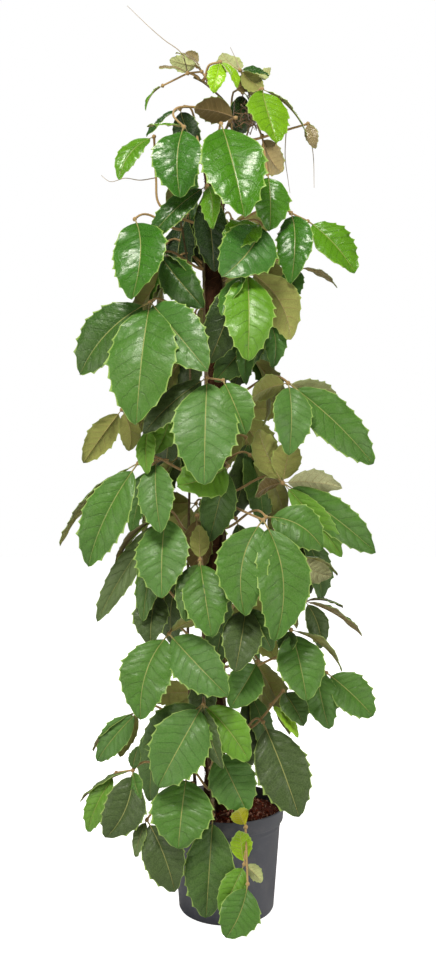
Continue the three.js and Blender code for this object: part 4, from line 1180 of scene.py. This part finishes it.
# %% [markdown]
# Between the front leaves one looks into the plant, and sees more leaves in the shade. They
# stand on the back stem too, behind the pole, and face the front. Their rows are read like
# those of the front leaves. Five small limp leaves stand for those that hang in the shade in
# front of the pole and in the crown, and that the imported solids do without.

# %% Inner leaves
# Most of these leaves wear the dark tone, which is painted shade.
INNER_LEAVES = [
    leaf("back", 1530, [(34, 1684, -60)], ("dark/brown", 16, 1588, -66, 58),
        ("deep", 82, 1604, -62, 50, -20)),
    leaf("back", 1520, [(-96, 1650, -50)], ("deep/tan", -166, 1592, -50, 46, 30),
        ("dark", -62, 1560, -62, 58)),
    leaf("back", 1480, [(-62, 1556, -62)], ("deep", -70, 1404, -64, 56)),
    leaf("back", 1390, [(-80, 1432, -58)], ("dark", -98, 1272, -62, 84), ("dark/brown", -44, 1318, -66, 54)),
    leaf("back", 1310, [(-124, 1372, -48)], ("mid", -176, 1222, -54, 70, 10)),
    leaf("back", 1190, [(34, 1228, -60)], ("dark", 14, 1064, -66, 72), ("deep", 76, 1070, -60, 66)),
    leaf("back", 1150, [(-66, 1190, -60)], ("dark", -74, 1040, -64, 66)),
    leaf("back", 950, [(40, 968, -60)], ("dark", 8, 800, -66, 76), ("deep", 76, 786, -62, 76)),
    leaf("back", 780, [(20, 800, -62)], ("dark", 30, 660, -66, 66)),
    leaf("back", 970, [(-108, 1008, -52)], ("dark", -124, 846, -58, 76), ("mid", -66, 862, -64, 50)),
    leaf("back", 860, [(-150, 912, -40)], ("mid", -196, 770, -50, 62, 10)),
    leaf("back", 660, [(-92, 700, -58)], ("dark", -112, 538, -62, 76)),
    leaf("back", 700, [(158, 772, -40)], ("deep", 196, 632, -50, 66, -10), ("dark", 150, 610, -54, 60)),
    leaf("back", 430, [(44, 446, -60)], ("dark", 30, 268, -68, 74), ("deep", 86, 300, -62, 50)),
    leaf("back", 380, [(-128, 402, -64)], ("deep", -158, 214, -84, 74)),
]
# The dark tone here too is painted shade.
HIDDEN_LEAVES = [
    leaf("left", 770, [(-62, 806, 50)], ("dark/brown", -60, 686, 52, 58, 180)),
    leaf("right", 590, [(-2, 618, 58)], ("deep", -24, 500, 58, 58)),
    leaf("left", 450, [(-44, 482, 58)], ("dark", -52, 376, 58, 54)),
    leaf("right", 1700, [(52, 1716, -14)], ("tan/tan", 74, 1662, -18, 40, 160),
        ("tan/pale", 92, 1736, -22, 30, 150), ("deep/brown", 22, 1690, -20, 34, 170)),
    leaf("left", 1690, [(-60, 1738, -4)], ("tan/pale", -118, 1752, -8, 34, 165),
        ("tan/tan", -84, 1768, -14, 30, 150)),
]
print("inner leaves:", len(INNER_LEAVES), "and small hidden ones:", len(HIDDEN_LEAVES))

# %% [markdown]
# Stems and everything that stands behind become meshes. The nest at the top of the pole is
# a tangle of short dry stalk ends, each a thin curl thrown down at random. Modelled one by
# one they would look no different, because only their tangle is seen.

# %% Stems and the foliage behind
NEST = dict(strands=46, tone=colour(132, 104, 74), across=(14, 66), up=(1614, 1660), front=(-16, 40))


def nest_patches():
    """A tangle of dry stalk ends."""
    nest = np.random.default_rng(41)
    patches = []
    for _ in range(NEST["strands"]):
        centre = spot([nest.uniform(*NEST[key]) for key in ("across", "up", "front")])
        way = unit(nest.normal(size=3) * [1, 0.7, 0.8])
        curl = unit(nest.normal(size=3))
        share = np.linspace(-1, 1, 7)[:, None]
        line = centre + way * share * nest.uniform(9, 24)
        line = line + curl * (share**2 - 0.4) * nest.uniform(3, 10)
        tone = np.array(NEST["tone"]) * nest.uniform(0.35, 1.1)
        patches += tube(line, np.linspace(nest.uniform(0.7, 1.6), 0.5, 7), 5, LEAF_SIDES["stalk"], tone)
    return patches


starts = {key: [row["start"] for row in LEAVES if row["stem"] == key] for key in STEMS}
back_patches = stem_patches(STEMS["back"], range(440, 1540, 104), LEAF_SIDES["bark"])
for index in range(BACK["leaves"] + len(BACK["sides"])):
    back_patches += back_leaf(index)
for index, row in enumerate(INNER_LEAVES):
    back_patches += leaf_patches(row, 3000 + 10 * index, FEWER_ACROSS)
back_piece = piece("back_stem_foliage", back_patches, LEAF_FINISHES, "leafy_stem_back")
hidden_patches = []
for index, row in enumerate(HIDDEN_LEAVES):
    hidden_patches += leaf_patches(row, 4000 + 10 * index)
piece("hidden_small_foliage", hidden_patches, LEAF_FINISHES, None)
piece("dry_stalk_nest", nest_patches(), LEAF_FINISHES, None)
print("faces behind:", len(back_piece.data.polygons))
for key, packed in (("left", "stem_left"), ("right", "stem_right"), ("outer", "stem_left_outer")):
    piece(packed + "_bark", stem_patches(STEMS[key], starts[key], 0), [STEM_BARK], packed)

# %% [markdown]
# The pole is coir: coconut fibre wound round a core. One rough cylinder would look like
# bark, so its surface is lumpy and fifteen hundred loose fibres lie on it, each a thin bent
# tube. Hair curves would be lighter, but the export drops them.

# %% Coir pole
COIR_TONES = dict(core=colour(84, 54, 38), top=colour(66, 42, 30), fibre=colour(126, 84, 54))
FIBRES = 1500


def pole_patches():
    """The lumpy core of the pole, with painted shade in its hollows, and its domed top."""
    rng = np.random.default_rng(11)
    rows, sides = 260, 40
    z = np.linspace(POLE["bottom"], POLE["top"], rows)[:, None]
    turn = round_angles(sides)
    lumps = rng.random((rows, sides))
    for axis in (0, 1):
        lumps = (lumps + np.roll(lumps, 1, axis) + np.roll(lumps, -1, axis)) / 3
    rope = 0.5 * np.sin(turn * 2 + z / 9)
    radius = POLE["radius"] - 1.2 + 16 * (lumps - 0.5) + rope
    x, y = POLE["x"] + radius * np.cos(turn), POLE["y"] + radius * np.sin(turn)
    ring = np.stack([x, y, np.broadcast_to(z, radius.shape)], -1)
    # Sunk parts of the core are darker and raised lumps lighter: painted shade in the hollows, varied by a
    # random tone.
    shade = (0.2 + 1.6 * lumps) * rng.uniform(0.5, 1.3, lumps.shape)
    tones = np.array(COIR_TONES["core"]) * shade[..., None]
    rim = ring[-1]
    middle = rim.mean(0) + [0, 0, 4]
    dome = np.concatenate([rim, 0.5 * rim + 0.5 * middle + [0, 0, 1.5], middle[None]])
    fan = [[k, (k + 1) % sides, sides + (k + 1) % sides, sides + k] for k in range(sides)]
    tip = [[sides + k, sides + (k + 1) % sides, 2 * sides] for k in range(sides)]
    return [patch(ring, grid_faces(rows, sides, around=True), 0, tones),
        patch(dome, fan, 0, COIR_TONES["top"]), patch(dome, tip, 0, COIR_TONES["top"])]


def fibre_patches(count):
    """Loose fibres that lie on the pole and stand off a little."""
    rng = np.random.default_rng(23)
    patches = []
    for _ in range(count):
        z, turn = rng.uniform(POLE["bottom"] + 160, POLE["top"] - 12), rng.uniform(0, 2 * np.pi)
        span, climb = rng.uniform(-1.6, 1.6), rng.uniform(-26, 26)
        share = np.linspace(0, 1, 6)
        off = POLE["radius"] + rng.uniform(-1.5, 0.3) + rng.uniform(0, 2.6) * share**2
        angle = turn + span * share
        height = np.minimum(z + climb * share + 2 * np.sin(share * 5), POLE["top"] + 3)
        line = np.stack([POLE["x"] + off * np.cos(angle), POLE["y"] + off * np.sin(angle), height], 1)
        tone = np.array(COIR_TONES["fibre"]) * rng.uniform(0.35, 1.4)
        patches += tube(line, rng.uniform(0.3, 0.65), 3, 0, tone)
    return patches


def coir_finish():
    """Dull brown fibre."""
    finish, tree, shader = blank_finish("coir_fibre", Roughness=0.95, Specular_IOR_Level=0.15)
    body = mottled(tree, mesh_tone(tree), 45.0, 800.0, 0.5)
    wave = node(tree, "ShaderNodeTexNoise", Detail=5.0, Roughness=0.75, Distortion=1.6)
    tree.links.new(stretched_place(tree, (160, 160, 420)), wave.inputs["Vector"])
    strands = ramp_between(tree, wave.outputs["Fac"], 0.4, 0.62)
    shown = blend_colours(tree, times(tree, strands, 0.55), body["Colour"], colour(112, 76, 50))
    tree.links.new(shown, shader["Base Color"])
    bump(tree, strands, 0.9, 0.0015, shader)
    return finish


COIR = coir_finish()
pole_piece = piece("coir_pole_core", pole_patches(), [COIR], "coir_pole")
fibres = piece("coir_pole_fibres", fibre_patches(FIBRES), [COIR], None)
print("pole faces:", len(pole_piece.data.polygons), "fibre faces:", len(fibres.data.polygons))

# %% [markdown]
# The soil is potting mix: a low mound, darker where it is damp, strewn with small grains and
# bits of pale root. The mound is a disc of rings with a height that rolls. The grains are
# small lumps with few faces, because hundreds of them are needed.

# %% Soil
SOIL_TONES = dict(mound=colour(92, 40, 28), deep=colour(60, 28, 20), pale=colour(196, 142, 124),
    crumb=colour(132, 62, 42), root=colour(176, 140, 116))
GRAINS, ROOT_BITS = 1100, 26
GRAIN_CORNERS = np.array([[1, 0, 0], [0, 1, 0], [-1, 0, 0], [0, -1, 0], [0, 0, 1], [0, 0, -1],
    [0.7, 0.7, 0.5], [-0.7, -0.6, 0.5]])
GRAIN_FACES = np.array([[0, 6, 4], [6, 1, 4], [1, 2, 4], [2, 7, 4], [7, 3, 4], [3, 0, 4],
    [1, 0, 5], [2, 1, 5], [3, 2, 5], [0, 3, 5], [0, 1, 6], [2, 3, 7]])


def soil_height(x, y):
    """The height of the mound at a place."""
    far = np.hypot(x, y) / 110
    roll = 2.6 * np.sin(x / 17 + 1.3) * np.cos(y / 21)
    roll = roll + 1.5 * np.sin(x / 7 + y / 9) + 0.9 * np.sin(x / 3.3 - y / 4.1)
    return SOIL_TOP - 2.5 + 4.0 * (1 - far**2) + roll * np.clip((1 - far) * 3, 0, 1)


def soil_patches():
    """The mound and its hidden wall down to the floor of the pot."""
    rings, sides = 46, 96
    reach, turn = np.meshgrid(np.linspace(0.5, 110.9, rings), round_angles(sides), indexing="ij")
    x, y = reach * np.cos(turn), reach * np.sin(turn)
    rng = np.random.default_rng(5)
    mound = np.stack([x, y, soil_height(x, y) + 1.1 * (rng.random(x.shape) - 0.5)], -1)
    tones = np.array(SOIL_TONES["mound"]) * (0.55 + 0.8 * rng.random(x.shape))[..., None]
    foot = np.stack([x[-1] * 0.86, y[-1] * 0.86, np.full(sides, 4.0)], -1)
    cap = [list(range(sides))]
    return [patch(mound, grid_faces(rings, sides, around=True), 0, tones),
        patch(mound[0], cap, 0, SOIL_TONES["deep"]),
        patch(np.stack([mound[-1], foot]), grid_faces(2, sides, around=True), 0, SOIL_TONES["deep"]),
        patch(foot, [cap[0][::-1]], 0, SOIL_TONES["deep"])]


def grain_patches(count):
    """Grains and crumbs on the soil: eight-cornered lumps of many sizes."""
    rng = np.random.default_rng(31)
    patches = []
    for _ in range(count):
        reach, turn = 108 * math.sqrt(rng.random()), rng.uniform(0, 2 * math.pi)
        x, y = reach * math.cos(turn), reach * math.sin(turn)
        size = 1.0 + 3.0 * rng.random() ** 2.5
        spin = rng.uniform(0, 2 * math.pi)
        lump = GRAIN_CORNERS * size * rng.uniform(0.7, 1.3, GRAIN_CORNERS.shape)
        lump[:, :2] = lump[:, :2] @ [[math.cos(spin), -math.sin(spin)], [math.sin(spin), math.cos(spin)]]
        tone = SOIL_TONES["pale" if rng.random() > 0.62 else "crumb"]
        tone = np.array(tone) * rng.uniform(0.5, 1.25)
        patches.append(patch(lump + [x, y, soil_height(x, y) + 0.3 * size], GRAIN_FACES, 0, tone))
    return patches


def root_patches(count):
    """Short pale bits of root on the soil."""
    rng = np.random.default_rng(37)
    patches = []
    for _ in range(count):
        reach = 96 * math.sqrt(rng.random())
        turn, way = rng.uniform(0, 2 * math.pi), rng.uniform(0, 2 * math.pi)
        share = np.linspace(0, 1, 7)
        x = reach * math.cos(turn) + rng.uniform(8, 22) * share * math.cos(way) + 2 * np.sin(share * 5)
        y = reach * math.sin(turn) + rng.uniform(8, 22) * share * math.sin(way)
        if (np.hypot(x, y) >= 107).any():
            continue
        line = np.stack([x, y, soil_height(x, y) + 1.0 + 1.6 * np.sin(share * math.pi)], 1)
        patches += tube(line, np.linspace(0.9, 0.4, 7), 5, 0, SOIL_TONES["root"])
    return patches


def soil_finish():
    """Damp crumbly potting mix."""
    finish, tree, shader = blank_finish("potting_soil", Roughness=0.92, Specular_IOR_Level=0.2)
    body = mottled(tree, mesh_tone(tree), 70.0, 600.0, 0.5)
    tree.links.new(body["Colour"], shader["Base Color"])
    bump(tree, body["Height"], 0.9, 0.0015, shader)
    return finish


SOIL = soil_finish()
soil_piece = piece("soil_mound", soil_patches(), [SOIL], "soil")
loose = grain_patches(GRAINS) + root_patches(ROOT_BITS)
grains = piece("soil_grains", loose, [SOIL], None)
print("soil faces:", len(soil_piece.data.polygons), "grain faces:", len(grains.data.polygons))

# %% [markdown]
# The pot is a plain nursery pot of dark blue-grey plastic. It is turned like a bowl on a
# lathe: its outline, from the foot up over the collar and down the inside, is spun round the
# axis. The real one has a wide collar with a step below it. Its base is a sheet of short
# wedges with six drain holes left out, and each hole has its wall.

# %% Pot
POT = dict(height=212, rim=120, base=97.5, neck=114, wall=2, floor=3, collar=30, sides=96)
DRAINS = dict(count=6, radius=7, ring=70)
PLASTIC_TONE = (0.1, 0.1, 0.12)


def wall_radius(z):
    """The radius of the pot's outer wall below the collar."""
    return POT["base"] + (POT["neck"] - POT["base"]) * z / POT["height"]


def pot_outline():
    """Radius and height of the pot's skin, outside up and inside down."""
    step = POT["height"] - POT["collar"]
    foot = [(POT["base"] - 4, 0), (POT["base"] - 1.6, 0.7), (wall_radius(4), 4)]
    wall = [(wall_radius(z), z) for z in np.linspace(12, step - 16, 9)]
    below = ((-12, 0, -12), (-10, 0.7, -10.5), (-9, 0.7, -8), (-6, 0, -6.4), (0, 0.1, -0.6), (0, 1.6, 0.2))
    steps = [(wall_radius(step + at) + out, step + up) for at, out, up in below]
    collar = [(POT["rim"] - less, z) for less, z in ((3.4, step + 0.8), (2.9, step + 2), (1.6, 200),
        (0.2, 207), (0, 210), (0.3, 211.5), (1, 212), (2.2, 211.8), (2.9, 210.8), (4, 200), (5, 184))]
    inside = [(wall_radius(z) - POT["wall"], top) for z, top in ((180, 180), (3, 3.4))]
    return foot + wall + steps + collar + inside + [(POT["base"] - 4, POT["floor"])]


def spun(outline, sides, tone):
    """An outline spun round the upright axis."""
    turn = round_angles(sides)
    ring = np.array([[[r * math.cos(a), r * math.sin(a), z] for a in turn] for r, z in outline])
    return patch(ring, grid_faces(len(outline), sides, around=True)[:, ::-1], 0, tone)


def base_patches(sides):
    """The flat base, with six drain holes left out of it as short wedges with walls."""
    ring, reach = DRAINS["ring"], DRAINS["radius"]
    rings = [1.0, 60, ring - reach, ring - 3, ring + 3, ring + reach, POT["base"] - 4]
    turn = round_angles(sides)
    sheets = np.array([[[r * math.cos(a), r * math.sin(a), z] for r in rings for a in turn]
        for z in (0.0, POT["floor"])])
    above = len(rings) * sides
    share = sides // DRAINS["count"]
    holes = {(row, k) for row in (2, 3, 4) for k in range(sides) if (k + 2) % share < 3}
    faces = []
    for row in range(len(rings) - 1):
        for k in range(sides):
            near, far, after = row * sides, (row + 1) * sides, (k + 1) % sides
            low = [near + k, near + after, far + after, far + k]
            if (row, k) not in holes:
                faces += [low[::-1], [corner + above for corner in low]]
                continue
            beside = ((row - 1, k), (row, after), (row + 1, k), (row, (k - 1) % sides))
            for a, b, cell in zip(low, low[1:] + low[:1], beside):
                if cell not in holes:
                    faces.append([a, b, b + above, a + above])
    centre = [list(range(sides)), list(range(above, above + sides))[::-1]]
    return [patch(sheets, faces, 0, PLASTIC_TONE), patch(sheets, centre, 0, PLASTIC_TONE)]


def pot_finish():
    """Dark blue-grey plastic with dust and faint scuffs."""
    finish, tree, shader = blank_finish("nursery_pot_plastic", Specular_IOR_Level=0.45)
    body = mottled(tree, colour(74, 76, 88), 14.0, 500.0, 0.12)
    dust = node(tree, "ShaderNodeTexNoise", Scale=22.0, Detail=6.0, Roughness=0.7)
    tree.links.new(object_place(tree), dust.inputs["Vector"])
    film = ramp_between(tree, dust.outputs["Fac"], 0.48, 0.72)
    shown = blend_colours(tree, times(tree, film, 0.28), body["Colour"], colour(128, 126, 128))
    tree.links.new(shown, shader["Base Color"])
    tree.links.new(plus(tree, times(tree, film, 0.25), 0.42), shader["Roughness"])
    bump(tree, body["Height"], 0.2, 0.0003, shader)
    return finish


POT_PLASTIC = pot_finish()
pot_patches = [spun(pot_outline(), POT["sides"], PLASTIC_TONE)] + base_patches(POT["sides"])
pot_piece = piece("pot_shell", pot_patches, [POT_PLASTIC], "pot")
print("pot faces:", len(pot_piece.data.polygons))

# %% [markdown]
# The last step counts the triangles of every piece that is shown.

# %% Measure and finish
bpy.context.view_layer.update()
shown = [o.data for o in bpy.data.objects if o.type == "MESH" and not o.hide_render]
total = sum(len(face.vertices) - 2 for mesh in shown for face in mesh.polygons)
print("triangles shown:", total)
